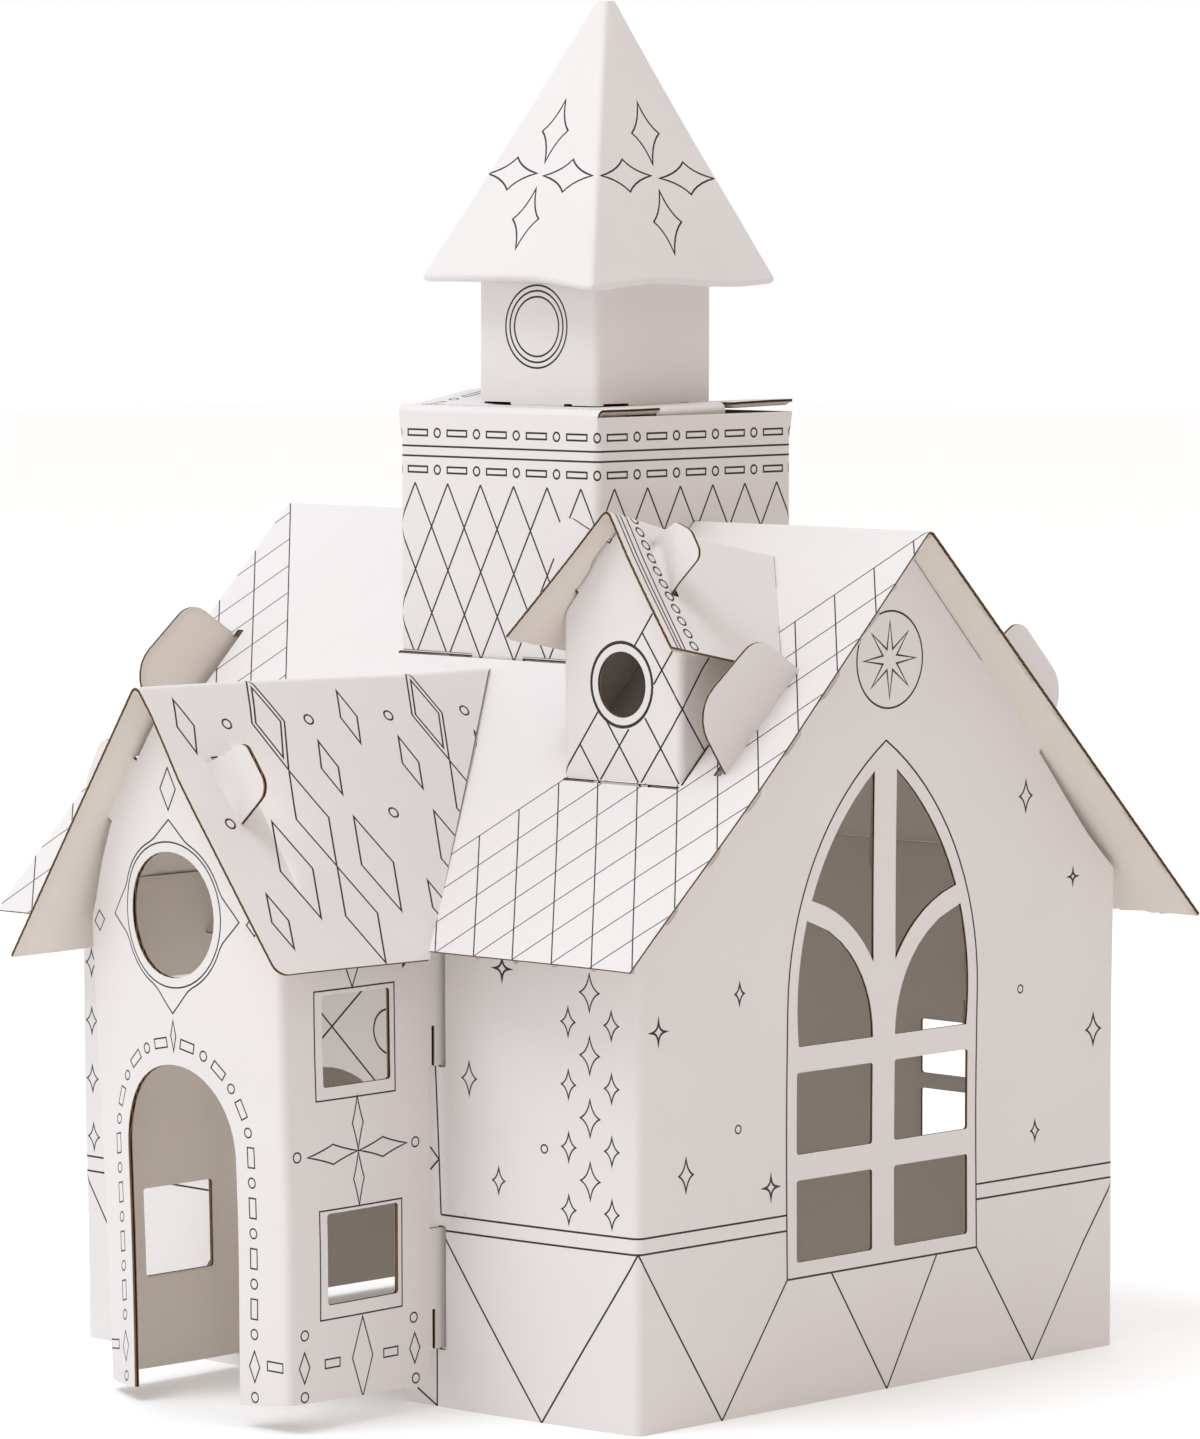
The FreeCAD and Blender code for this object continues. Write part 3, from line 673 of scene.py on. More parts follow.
def front_print():
    """Lines printed on the front wall either side of the porch, and a few inside it."""
    shapes = []
    for side, column in ((1, 84.1), (-1, 87.7)):
        runs = [[(37.1, BAND_TOP), (HALF_LENGTH, BAND_TOP)], [(37.1, BAND_LOW), (HALF_LENGTH, BAND_LOW)],
                [(37.1, BAND_LOW), (69.2, 0), (HALF_LENGTH, BAND_LOW)],
                [(34.8, 110), (35.3, 84), (36.5, 60), (37.1, BAND_TOP)], [(35.7, 15), (35.6, 0)],
                [(29.0, 3.8), (35.6, 0.2)], [(33.5, 63.3), (36.4, 60.5), (33.5, 57.7)]]
        shapes += lines(*shifted(runs, 0, side))
        shapes += round_sparkle(side * 57.1, 108.5, 2.8)
        shapes += strokes([sparkle(side * 46.4, 81.1, 2.3, 4.1), sparkle(side * 55.8, 57.2, 1.9, 3.2),
                           circle(side * 70.1, 66.2, 1.0)])
        for k in range(4):
            for x, z, wide, high in ((0, 104.7, 2.9, 4.5), (-6.5, 97.3, 2.1, 3.5), (6.5, 97.3, 2.1, 3.5)):
                shapes += stroke(sparkle(side * (column + x), z - 15 * k, wide, high), FINE)
    shapes += lines(((-7.6, 95.4), (15.2, 77.4)), ((-7.6, 83.1), (14.4, 103.1)))
    return shapes + stroke(circle(19.9, 90.2, 5.5, 28))


def back_print():
    """Band, zigzag and window frames of the hidden back wall."""
    shapes = []
    for z in (BAND_TOP, BAND_LOW):
        shapes += lines(((-HALF_LENGTH, z), (-60, z)), ((-31.4, z), (31.4, z)), ((60, z), (HALF_LENGTH, z)))
    step = LENGTH / 7
    for k in range(7):
        x = -HALF_LENGTH + k * step
        shapes += lines(((x, BAND_LOW), (x + step / 2, 0), (x + step, BAND_LOW)))
    return shapes + strokes([block(side * BACK_WINDOW_X, 62.4, 14.3, 19.5) for side in (1, -1)], LINE)


def main_walls():
    """Flat sheet: u round the walls from the back left corner, v up."""
    peak = WALL_HEIGHT + HALF_WIDTH * tan(ROOF_PITCH)
    bowed = [(FRONT_U + x, WALL_HEIGHT - bow(x) * tan(ROOF_PITCH))
             for x in spread(-HALF_LENGTH, HALF_LENGTH, 14)]
    top = [(0, WALL_HEIGHT), (LEFT_U, peak), (WIDTH, WALL_HEIGHT), *bowed, (WIDTH + LENGTH, WALL_HEIGHT),
           (GABLE_U, peak), (2 * WIDTH + LENGTH, WALL_HEIGHT), (AROUND - SEAM, WALL_HEIGHT)]
    # the left gable stands a little off the floor
    solid = [[(AROUND - SEAM, 0), (WIDTH, 0), (WIDTH - 10, 2.6), (10, 2.6), (0, 0)] + top]
    back_tab = gable_tabs(BACK_GABLE_TAB, ROOF_PITCH, ROOF_RIDGE)[0]
    front_tab = gable_tabs(GABLE_TAB, ROOF_PITCH, ROOF_RIDGE)[1]
    for tab in (back_tab, front_tab):
        solid += shifted([tab], GABLE_U) + shifted([tab], LEFT_U, -1)

    def on_gable(x, z):
        """The right gable's print sits a little towards the front, the more the higher up."""
        return (GABLE_U + x - 0.85 * gable_lean(x, z), z)

    holes = moved(lancet_panes(), on_gable) + shifted(lancet_panes(), LEFT_U, -1)
    door = [(FRONT_U + HALL_DOOR_HALF, -2), (FRONT_U - HALL_DOOR_HALF, -2)]
    holes.append(door + arc(FRONT_U, HALL_DOOR_SPRING, HALL_DOOR_HALF, 180, 0, 24))
    for side in (1, -1):
        for z in (53.3, 71.5):
            holes.append(block(BACK_U - side * BACK_WINDOW_X, z, 11, 7.1, 0.8))
        for low, high in PORCH_TABS:
            holes.append(block(FRONT_U + side * (PORCH_HALF - BOARD / 2), (low + high) / 2,
                               BOARD / 2 + SLOT, (high - low) / 2 + SLOT, 0.6))
    ink = moved(gable_print(), on_gable) + shifted(gable_print(), LEFT_U, -1)
    ink += shifted(front_print(), FRONT_U) + shifted(back_print(), BACK_U, -1)

    def warp(point, u, v):
        front = clamp((-point.y - HALF_WIDTH + 8) / 6)
        right = clamp((point.x - HALF_LENGTH + 8) / 6)
        wave = 0.35 * ripple(point, 60, 3.1) * min(1.0, v / 30)
        lean = (gable_lean(point.y, v) + wave) * right
        lean -= (0.8 + 1.2 * ease(0, 80, v)) * ease(60, HALF_LENGTH, -point.x)
        push = (bow(point.x) + wave) * front
        # the right gable's back corner sits out a little, and sags away from the roof
        back = 1.5 * ease(74, HALF_WIDTH, point.y) * right
        below_top = WALL_HEIGHT + (HALF_WIDTH - abs(point.y)) * tan(ROOF_PITCH) - v
        sag = 3.6 * ease(42, 84, point.y) * (1 - ease(1, 14, below_top)) * (below_top > -1) * right
        return point + Vector((lean, back - push, -sag))

    plan = four_walls(HALF_LENGTH, HALF_WIDTH)
    sheet("house_walls", "main_walls", solid, holes, ink, upright(plan), warp,
          plan.marks() + spread(0, AROUND), spread(0, 215))


# ---------------------------------------------------------------- main roof

def lattice():
    """Two families of slanting lines in a slope's right margin: x along the ridge, s down the slope."""
    edge, deep = ROOF_HALF_LENGTH, ROOF_SLOPE
    margin, spacing = 113.8, 13.2
    lean_out, lean_in = 0.733, 0.69
    segments = []
    for k in range(8):
        start = margin + spacing * k
        top = max(0.0, (start - edge) / lean_out)
        segments.append([(start - lean_out * top, top), (start - lean_out * deep, deep)])
    for k in range(13):
        start = 107.6 - 13.26 * k
        top = (margin - start) / (lean_out + lean_in)
        low = min(deep, (edge - start) / lean_in)
        if top < deep:
            segments.append([(start + lean_in * top, top), (start + lean_in * low, low)])
    return segments


def main_roof():
    """Flat sheet: u across it, from the back eave over the ridge at ROOF_SLOPE to the front; v along X."""
    edge = ROOF_HALF_LENGTH
    eave = 2 * ROOF_SLOPE
    # the front eave is cut a little crooked
    solid = [[(0, -edge), (eave, -edge), (eave - 1.5, 30), (eave - 0.7, edge), (0, edge)]]
    low, high = GABLE_SLOT
    holes = [block(ROOF_SLOPE + side * (low + high) / 2, x * (HALF_LENGTH - BOARD / 2),
                   (high - low) / 2 + SLOT, BOARD / 2 + SLOT, 0.4) for side in (1, -1) for x in (1, -1)]
    # the tower's front wall and the dormer stand in slits that are a little wider than the board
    tower = ROOF_SLOPE + TOWER_HALF / cos(ROOF_PITCH)
    dormer = ROOF_SLOPE - DORMER_FRONT / cos(ROOF_PITCH)
    dormer_left, dormer_right = DORMER_AT - DORMER_HALF, DORMER_AT + DORMER_HALF
    holes += [rectangle(tower, -TOWER_HALF, tower + SLIT, TOWER_HALF),
              rectangle(dormer, dormer_left + 0.8, dormer + SLIT, dormer_right),
              rectangle(dormer - 20, dormer_right - 0.1, dormer - 0.5, dormer_right + 0.6)]
    ink = []
    for side in (1, -1):
        for margin in (1, -1):
            drawn = lines(*shifted(lattice(), 0, margin), width=ROOF_LINE)
            ink += [[(ROOF_SLOPE + side * s, x) for x, s in quad] for quad in drawn]
    section = two_slopes(ROOF_SLOPE, ROOF_PITCH)

    def place(u, v):
        point = section.at(u)
        return Vector((v, point.x, ROOF_RIDGE + point.y))

    def warp(point, u, v):
        wave = 0.3 * ripple(point, 80, 7.7)
        # the front eave flares up a little towards its right corner
        flare = (1.45 * ease(-20, 40, v) + 1.55 * ease(40, edge, v)) * ease(ROOF_SLOPE + 70, eave + 12, u)
        return point + Vector((0, -sin(ROOF_PITCH), cos(ROOF_PITCH))) * (flare + wave)

    sheet("house_roof", "main_roof", solid, holes, ink, place, warp,
          section.marks() + spread(0, eave), spread(-edge, edge), lambda u: 0.5 if u > ROOF_SLOPE else 1.0)


# ---------------------------------------------------------------- porch walls

PORCH_MIDDLE_U = PORCH_SIDE + PORCH_HALF
PORCH_AROUND = 2 * PORCH_MIDDLE_U


def door_border():
    """Little rectangles and circles, turn about, that follow the porch door's arch."""
    shapes = []
    path, step, first = 26.5, 6.06, 4.86
    quarter = path * pi / 2
    for side in (1, -1):
        for k in range(14):
            along = first + step * k
            turn = min(along, quarter) / path
            x, z = path * sin(turn), DOOR_SPRING + path * cos(turn) - max(0.0, along - quarter)
            if k % 2:
                outline = circle(x, z, 1.2, 14)
            else:
                outline = [(x + a * cos(turn) + b * sin(turn), z - a * sin(turn) + b * cos(turn))
                           for a, b in block(0, 0, 2.4, 1.15)]
            shapes += strokes(shifted([outline], 0, side))
    # beside the door it runs a millimetre higher
    return moved(shapes, lambda x, z: (x, z + 1 - ease(66, 88, z)))


def four_cusps():
    """Outline that hugs the round window and runs out to a point above, below and to each side."""
    reaches = (22.9, 24.0, 23.8, 24.0)
    steps, hug = 16, 18.5
    points = []
    for i, reach_a in enumerate(reaches):
        for k in range(steps):
            part = k / steps
            near, reach = (part, reach_a) if part < 0.5 else (1 - part, reaches[(i + 1) % 4])
            radius = hug + (reach - hug) * max(0.0, 1 - 4.2 * near) ** 1.6
            turn = radians(90 - 90 * (i + part))
            points.append((radius * cos(turn), ROUND_WINDOW_Z + radius * sin(turn)))
    return points


def porch_front_print():
    """Lines round the door and the round window, x across and z up."""
    shapes = door_border()
    for side, diamond_x in ((1, 29.3), (-1, -32.6)):
        shapes += strokes([diamond(side * 26.5, 15.2, 1.8, 3.75), circle(side * 26.5, 7.8, 1.2, 14),
                           block(side * 33.7, 16.0, 2.7, 1.1), diamond(diamond_x, 121.0, 2.7, 2.5)])
    return shapes + strokes([diamond(0, 92.2, 0.9, 3.7), diamond(0, 151.7, 2.7, 5.1),
                             circle(0, ROUND_WINDOW_Z, 17.55, 48), four_cusps()])


def porch_side_print():
    """Lines on a side of the porch: distance back from the front fold, and z up."""
    shapes = [rectangle(10.4, z - 13.1, far, z + 13.1) for z, far in ((39.45, 38.3), (91.95, 36.3))]
    shapes += [sparkle(23.6, 65.8 + up, 1.8, 6.5, pinch=0.85) for up in (6.7, -6.7)]
    shapes += [sparkle(23.6 + along, 65.8, 8.1, 2.4, pinch=0.85) for along in (8.3, -8.3)]
    shapes += [circle(along, z, 1.2, 14) for along, z in (
        (3.9, 66.2), (43.0, 65.7), (5.3, 23.4), (5.2, 8.6), (42.2, 23.1), (42.8, 8.2))]
    shapes += [diamond(along, 15.6, 1.7, 3.7) for along in (5.2, 42.5)]
    shapes += [block(along, 15.75, 2.45, 1.05) for along in (14.3, 34.3)]
    return strokes(shapes + [diamond(24.5, 16.0, 3.5, 9.7), diamond(22.6, 114.5, 4.0, 9.3)])


def porch_walls():
    """Flat sheet: u from the back of the left side round to the back of the right one, v up."""
    peak = PORCH_RIDGE - (BOARD + FIT) / cos(PORCH_PITCH)
    side_top = peak - PORCH_HALF * tan(PORCH_PITCH)
    left_fold, right_fold = PORCH_SIDE, PORCH_AROUND - PORCH_SIDE
    # the main roof's eave rests in a notch in each side's back corner
    notch, notch_low, rear_top = 8.6, 108.0, 115.9
    left = [(PORCH_MIDDLE_U, peak), (left_fold, side_top), (left_fold - 9, PORCH_LEFT_TOP),
            (notch, PORCH_LEFT_TOP), (notch, notch_low), (0, rear_top),
            (0, 3.9), (left_fold - 8, 4.4), (left_fold, 7.5), (PORCH_MIDDLE_U - 16, 3.7)]
    right = [(PORCH_MIDDLE_U + 16, 4.7), (right_fold, 7.1), (PORCH_AROUND, 6.2), (PORCH_AROUND, rear_top),
             (PORCH_AROUND - notch, notch_low), (PORCH_AROUND - notch, side_top), (right_fold, side_top)]
    solid = [left + right] + shifted(gable_tabs(PORCH_GABLE_TAB, PORCH_PITCH, PORCH_RIDGE), PORCH_MIDDLE_U)
    door = [(PORCH_MIDDLE_U + DOOR_HALF, 0), (PORCH_MIDDLE_U - DOOR_HALF, 0)]
    holes = [door + arc(PORCH_MIDDLE_U, DOOR_SPRING, DOOR_HALF, 180, 0, 24),
             circle(PORCH_MIDDLE_U, ROUND_WINDOW_Z, ROUND_WINDOW, 40)]
    ink = shifted(porch_front_print(), PORCH_MIDDLE_U)

    side_height = 125
    # each side's windows by their sill and how much wider than high they are
    for side, windows in ((1, ((29.7, 2.2), (81.9, 0))), (-1, ((27.3, 2.5), (79.5, 2.5)))):
        fold = PORCH_MIDDLE_U + side * PORCH_HALF
        cuts = []
        for low, high in PORCH_TABS:
            solid += shifted([side_tab(PORCH_SIDE, 10.3, low, high)], fold, side)
            cuts.append(rectangle(PORCH_SIDE + 0.9, low - 1, PORCH_SIDE + 1.9, low + 9.8, 0.3))
        for sill, wider in windows:
            cuts.append(rectangle(12.8, sill, 12.8 + SIDE_WINDOW + wider, sill + SIDE_WINDOW, 0.8))
        holes += shifted(cuts, fold, side)
        ink += shifted(porch_side_print(), fold, side)

    def curl(left, v):
        """How far the left part of the front curls back, and takes the left side with it."""
        bent, at_bent, at_fold = 24, 5.36, 11.7
        if left < 0:
            back = 0.0
        elif left < bent:
            back = 0.0093 * left ** 2
        elif left < PORCH_HALF:
            back = at_bent + 0.446 * (left - bent)
        else:
            back = at_fold - 0.085 * min(left - PORCH_HALF, PORCH_SIDE)
        return back * (1 - 0.42 * v / side_height) * (1 - 0.7 * ease(122, 150, v))

    def warp(point, u, v):
        left = PORCH_MIDDLE_U - u
        beyond = max(0.0, abs(left) - PORCH_HALF)
        curled = curl(left, v)
        before_tabs = 1 - ease(PORCH_SIDE - 14, PORCH_SIDE - 2, beyond)
        wave = 0.3 * ripple(point, 50, 5.3) * before_tabs
        if left > 0:
            inward = 3.0 * ease(0, 18, beyond) * ease(95, PORCH_LEFT_TOP, v)
            inward -= 2.0 * ease(10, PORCH_HALF, left) * max(0.0, 1 - v / side_height)
        else:
            inward = -1.4 * ease(12, PORCH_SIDE, beyond)
        lean = PORCH_LEAN * (v - 5) * max(0.0, 1 - beyond / PORCH_SIDE)
        above_roof = v - peak + abs(point.x) * tan(PORCH_PITCH)
        tab_back = PORCH_TAB_BACK * ease(-1.5, 1.5, above_roof) * ease(8, 18, -left) * (beyond == 0)
        drop = 4.3 * ease(14, PORCH_HALF, left) * (1 - 0.9 * ease(0, 8, beyond))
        return point + Vector((0.15 * curled * before_tabs + wave + inward,
                               curled + wave + tab_back - lean, -drop))

    plan = three_walls(0, PORCH_HALF, PORCH_FRONT, PORCH_SIDE)
    sheet("porch_walls", "porch_walls", solid, holes, ink, upright(plan), warp,
          plan.marks() + spread(0, PORCH_AROUND), spread(0, 180), lambda u: 1.2)


# ---------------------------------------------------------------- porch roof

def porch_roof_print():
    """Columns of diamonds and circles: distance back from the front edge, and down from the ridge."""
    small, large = (2.65, 7.5), (5.1, 13.4)
    shapes = []
    for k in range(8):
        back = 8.7 + 12.9 * k
        if k % 4 == 0:
            shapes += [diamond(back, 13.1, *small), circle(back, 40.3, 1.3), diamond(back, 67.2, *small)]
        elif k % 4 == 2:
            shapes += [diamond(back, s, *large) for s in (13.4, 40.4, 67.4)]
            shapes.append(diamond(back, 13.4, 3.9, 9.9))
        else:
            shapes.append(circle(back, 13.2, 1.3))
            if k != 1:
                shapes.append(diamond(back, 26.8, *small))
            shapes.append(diamond(back, 54.0, *large))
    return strokes(shapes, LINE)


def porch_roof():
    """Flat sheet: u across it with the ridge at u = PORCH_SLOPE, v towards the front."""
    front = -PORCH_EAVE_FRONT
    slot_low, slot_high = 21.8, 39.6        # how far down the slope the gable tabs' slots run

    def rear(s):
        """How far behind the front edge the roof meets the main roof, at a distance down from its ridge."""
        return front - (ROOF_RIDGE + 1.2 - (PORCH_RIDGE - s * sin(PORCH_PITCH))) / tan(ROOF_PITCH)

    solid = [[(PORCH_SLOPE, front - rear(0)), (0, front - rear(PORCH_SLOPE))]
             + arc(3.2, front - 3.2, 3.2, 180, 90, 6)
             + [(2 * PORCH_SLOPE, front), (2 * PORCH_SLOPE, front - rear(PORCH_SLOPE))]]
    holes, ink = [], []
    for side, tab_back in ((1, PORCH_TAB_BACK), (-1, 0)):
        slope = (PORCH_SLOPE, side, front)
        solid += on_slope([roof_tab(rear, 21.2, 35.6, 1, 9)], *slope)
        slot = front + PORCH_FRONT - SLOT + tab_back
        holes += on_slope([rectangle(slot, slot_low, slot + BOARD + 2 * SLOT, slot_high, 0.4)], *slope)
        ink += on_slope(porch_roof_print(), *slope)
    section = two_slopes(PORCH_SLOPE, PORCH_PITCH)

    def place(u, v):
        point = section.at(u)
        return Vector((point.x, -v, PORCH_RIDGE + point.y))

    def warp(point, u, v):
        """Towards the front the ridge stands up, and each slope's eave hangs its own way."""
        s = abs(u - PORCH_SLOPE) / PORCH_SLOPE
        if point.x > 0:
            forward, up = 1.8 - 4.4 * s + 2.1 * ease(0.08, 0.4, s), 1.2 - 0.6 * s
        else:
            forward, up = 1.8 - 1.1 * s, 1.2 - 3.2 * s
        wave = 0.4 * ripple(point, 55, 2.2) * ease(40, 110, v)
        return point + Vector((-1.2, -forward, up)) * ease(60, front, v) + Vector((wave, 0, wave))

    sheet("porch_roof", "porch_roof", solid, holes, ink, place, warp,
          section.marks() + spread(0, 2 * PORCH_SLOPE), spread(20, front))


# ---------------------------------------------------------------- dormer

DORMER_MIDDLE_U = DORMER_SIDE + DORMER_HALF


def outside_ring(a, b, peak, pitch):
    """The parts of a printed line that show outside the window's ring and under the roof."""
    steps = 120
    kept, run = [], []
    for k in range(steps + 1):
        x, z = a[0] + (b[0] - a[0]) * k / steps, a[1] + (b[1] - a[1]) * k / steps
        clear = hypot(x - DORMER_WINDOW_X, z - DORMER_WINDOW_Z) > DORMER_RING
        on_front = clear and z < peak - abs(x) * tan(pitch) + 0.5
        if on_front or x > DORMER_HALF and z < peak - DORMER_HALF * tan(pitch):
            run.append((x, z))
        elif run:
            kept.append(run)
            run = []
    kept.append(run)
    return lines(*[(run[0], run[-1]) for run in kept if len(run) > 1])


def dormer_walls():
    """Flat sheet: u from the back of the left side round to the back of the right one, v up."""
    middle, half = DORMER_MIDDLE_U, DORMER_HALF
    ridge = DORMER_RIDGE + (DORMER_RIDGE_Y - DORMER_FRONT) * tan(DORMER_FALL)
    pitch = atan2(tan(DORMER_PITCH), cos(DORMER_FALL))
    peak = ridge - (BOARD + FIT) / cos(pitch) * 1.01
    eave = peak - half * tan(pitch)
    foot = ROOF_RIDGE + FIT / cos(ROOF_PITCH) + DORMER_FRONT * tan(ROOF_PITCH)
    back = (eave - foot) / (tan(ROOF_PITCH) + tan(DORMER_FALL))
    meet = foot + back * tan(ROOF_PITCH)
    solid = shifted([[(-half - back, meet), (-half, foot), (half, foot), (half + back, meet),
                      (half, eave), (0, peak), (-half, eave)]], middle)
    solid.append(foot_tab(middle, foot))
    solid += shifted(gable_tabs(DORMER_GABLE_TAB, pitch, ridge), middle)
    holes = [circle(middle + DORMER_WINDOW_X, DORMER_WINDOW_Z, DORMER_WINDOW, 36)]

    shapes = stroke(circle(DORMER_WINDOW_X, DORMER_WINDOW_Z, DORMER_RING, 40), 0.8)
    slope, far = 1.34, half + back + 5
    rising = [height + slope * DORMER_AT for height in (86.9, 69.4, 51.2)]
    falling = [height - slope * DORMER_AT for height in (290.1, 270.8, 252.2, 234.1)]
    for start in rising:
        shapes += outside_ring((-half, start - slope * half), (far, start + slope * far), peak, pitch)
    for start in falling:       # these run from the first rising one
        x = (start - rising[0]) / (2 * slope)
        shapes += outside_ring((x, start - slope * x), (far, start - slope * far), peak, pitch)
    plan = three_walls(DORMER_AT, half, DORMER_FRONT, DORMER_SIDE)

    def place(u, v):
        if v > eave + 5:        # the tabs stand clear of the side folds
            return Vector((DORMER_AT + u - middle, DORMER_FRONT, v))
        return Vector((*plan.at(u), v))

    def warp(point, u, v):
        across = u - middle
        above_roof = v - peak + abs(across) * tan(pitch)
        top = 1 - clamp((across / cos(DORMER_PITCH) - 8) / 17)
        lean = DORMER_TAB_BACK * (0.3 + top) * ease(-1.5, 1.5, above_roof) * ease(3, 6, across)
        return point + Vector((0, lean, 0))

    sheet("dormer_walls", "dormer_walls", solid, holes, shifted(shapes, middle), place, warp,
          plan.marks() + spread(DORMER_SIDE, DORMER_SIDE + 2 * half, 4), spread(140, 220))


def dormer_roof_print():
    """Lines and circles along the front edge: distance back from it, and down from the ridge."""
    ends = ((2.1, 2.0), (3.6, 3.2), (5.7, 4.6))
    shapes = lines(*[((top, 0.4), (low, DORMER_SLOPE)) for top, low in ends])
    return shapes + strokes([circle(8.7, 1.6 + 3.86 * k, 1.25, 18) for k in range(11)], LINE)


def dormer_roof():
    """Flat sheet: u across it with the ridge at u = DORMER_SLOPE, v towards the front."""
    slope, fall, pitch = DORMER_SLOPE, DORMER_FALL, DORMER_PITCH

    def rear(s):
        """How far behind the front edge the roof meets the main roof, at a distance down from its ridge."""
        gap = DORMER_RIDGE - (ROOF_RIDGE + 0.6) - tan(ROOF_PITCH) * DORMER_RIDGE_Y
        drop = s * sin(pitch) * (cos(fall) - tan(ROOF_PITCH) * sin(fall))
        return (gap - drop) / (sin(fall) + tan(ROOF_PITCH) * cos(fall))

    solid = [[(slope, -rear(0)), (0, -rear(slope)), (0, 0), (2 * slope, 0), (2 * slope, -rear(slope))]]
    holes, ink = [], []
    gable = (DORMER_FRONT - DORMER_RIDGE_Y) / cos(fall)
    slot = rectangle(gable - SLOT, 8.0, gable + BOARD + SLOT, 24.3, 0.3)
    slant = tan(fall) * sin(pitch)
    for side, tab_back in ((1, DORMER_TAB_BACK), (-1, 0)):
        # the slot slants, to stay over the upright gable, and on the right over its leaning tab
        slanting = [(back + slant * s + tab_back * (0.3 + (25 - s) / 17), s) for back, s in slot]
        solid += on_slope([roof_tab(rear, 12.8, 26.4, -1, 6)], slope, side)
        holes += on_slope([slanting], slope, side)
        ink += on_slope(dormer_roof_print(), slope, side)
    section = two_slopes(slope, pitch)

    def place(u, v):
        point = section.at(u)
        return Vector((DORMER_AT + point.x, DORMER_RIDGE_Y - v * cos(fall) + point.y * sin(fall),
                       DORMER_RIDGE + v * sin(fall) + point.y * cos(fall)))

    def warp(point, u, v):
        # the front of the ridge stands up a little
        return point + Vector((0.4, 0, 1.0)) * (1 - ease(0, 20, abs(u - slope))) * ease(-25, 0, v)

    sheet("dormer_roof", "dormer_roof", solid, holes, ink, place, warp,
          section.marks() + spread(0, 2 * slope), spread(-70, 0))


# ---------------------------------------------------------------- tower

TOWER_SIDE = 2 * TOWER_HALF
TOWER_FRONT_U = 1.5 * TOWER_SIDE
LID_MIDDLE = LID_TOP + TOWER_HALF
LID_FOLD_FROM = 150.0               # height where the front wall's upright run is measured from
TONGUE_X = TOWER_HALF - BOARD - FIT


def tower_print():
    """Bands and lattice, u round the walls from the left front corner."""
    start, end = -TOWER_SIDE, 3 * TOWER_SIDE
    shapes = []
    for z in (233.3, 224.0):
        for k in range(-5, 16):
            at = 14.12 * k
            shapes += strokes([block(6.9 + at, z, 3.5, 0.75), circle(13.95 + at, z, 1.1)], LINE)
    shapes += lines(*[((start, z), (end, z)) for z in (229.9, 227.4)])
    top, low, slope = 220.6, 174.0, 1.86
    for k in range(-6, 18):
        peak = 5.9 + 11.77 * k
        for way in (1, -1):
            foot = max(start, min(end, peak + way * (top - low) / slope))
            shapes += lines(((peak, top), (foot, top - abs(foot - peak) * slope)))
    return shapes


def lid_print():
    """Border along the lid's front and left edges, from the middle of the lid."""
    shapes = []
    for k in range(5):
        at, edge = 7.2 - TOWER_HALF + 14.1 * k, 5.5 - TOWER_HALF
        shapes += [block(at, edge, 3.5, 0.75), circle(at + 7, edge, 1.1),
                   block(edge, at, 0.75, 3.5), circle(edge, at + 7, 1.1)]
    return strokes(moved(shapes, lambda x, y: (TOWER_FRONT_U + x, LID_MIDDLE + y)), LINE)


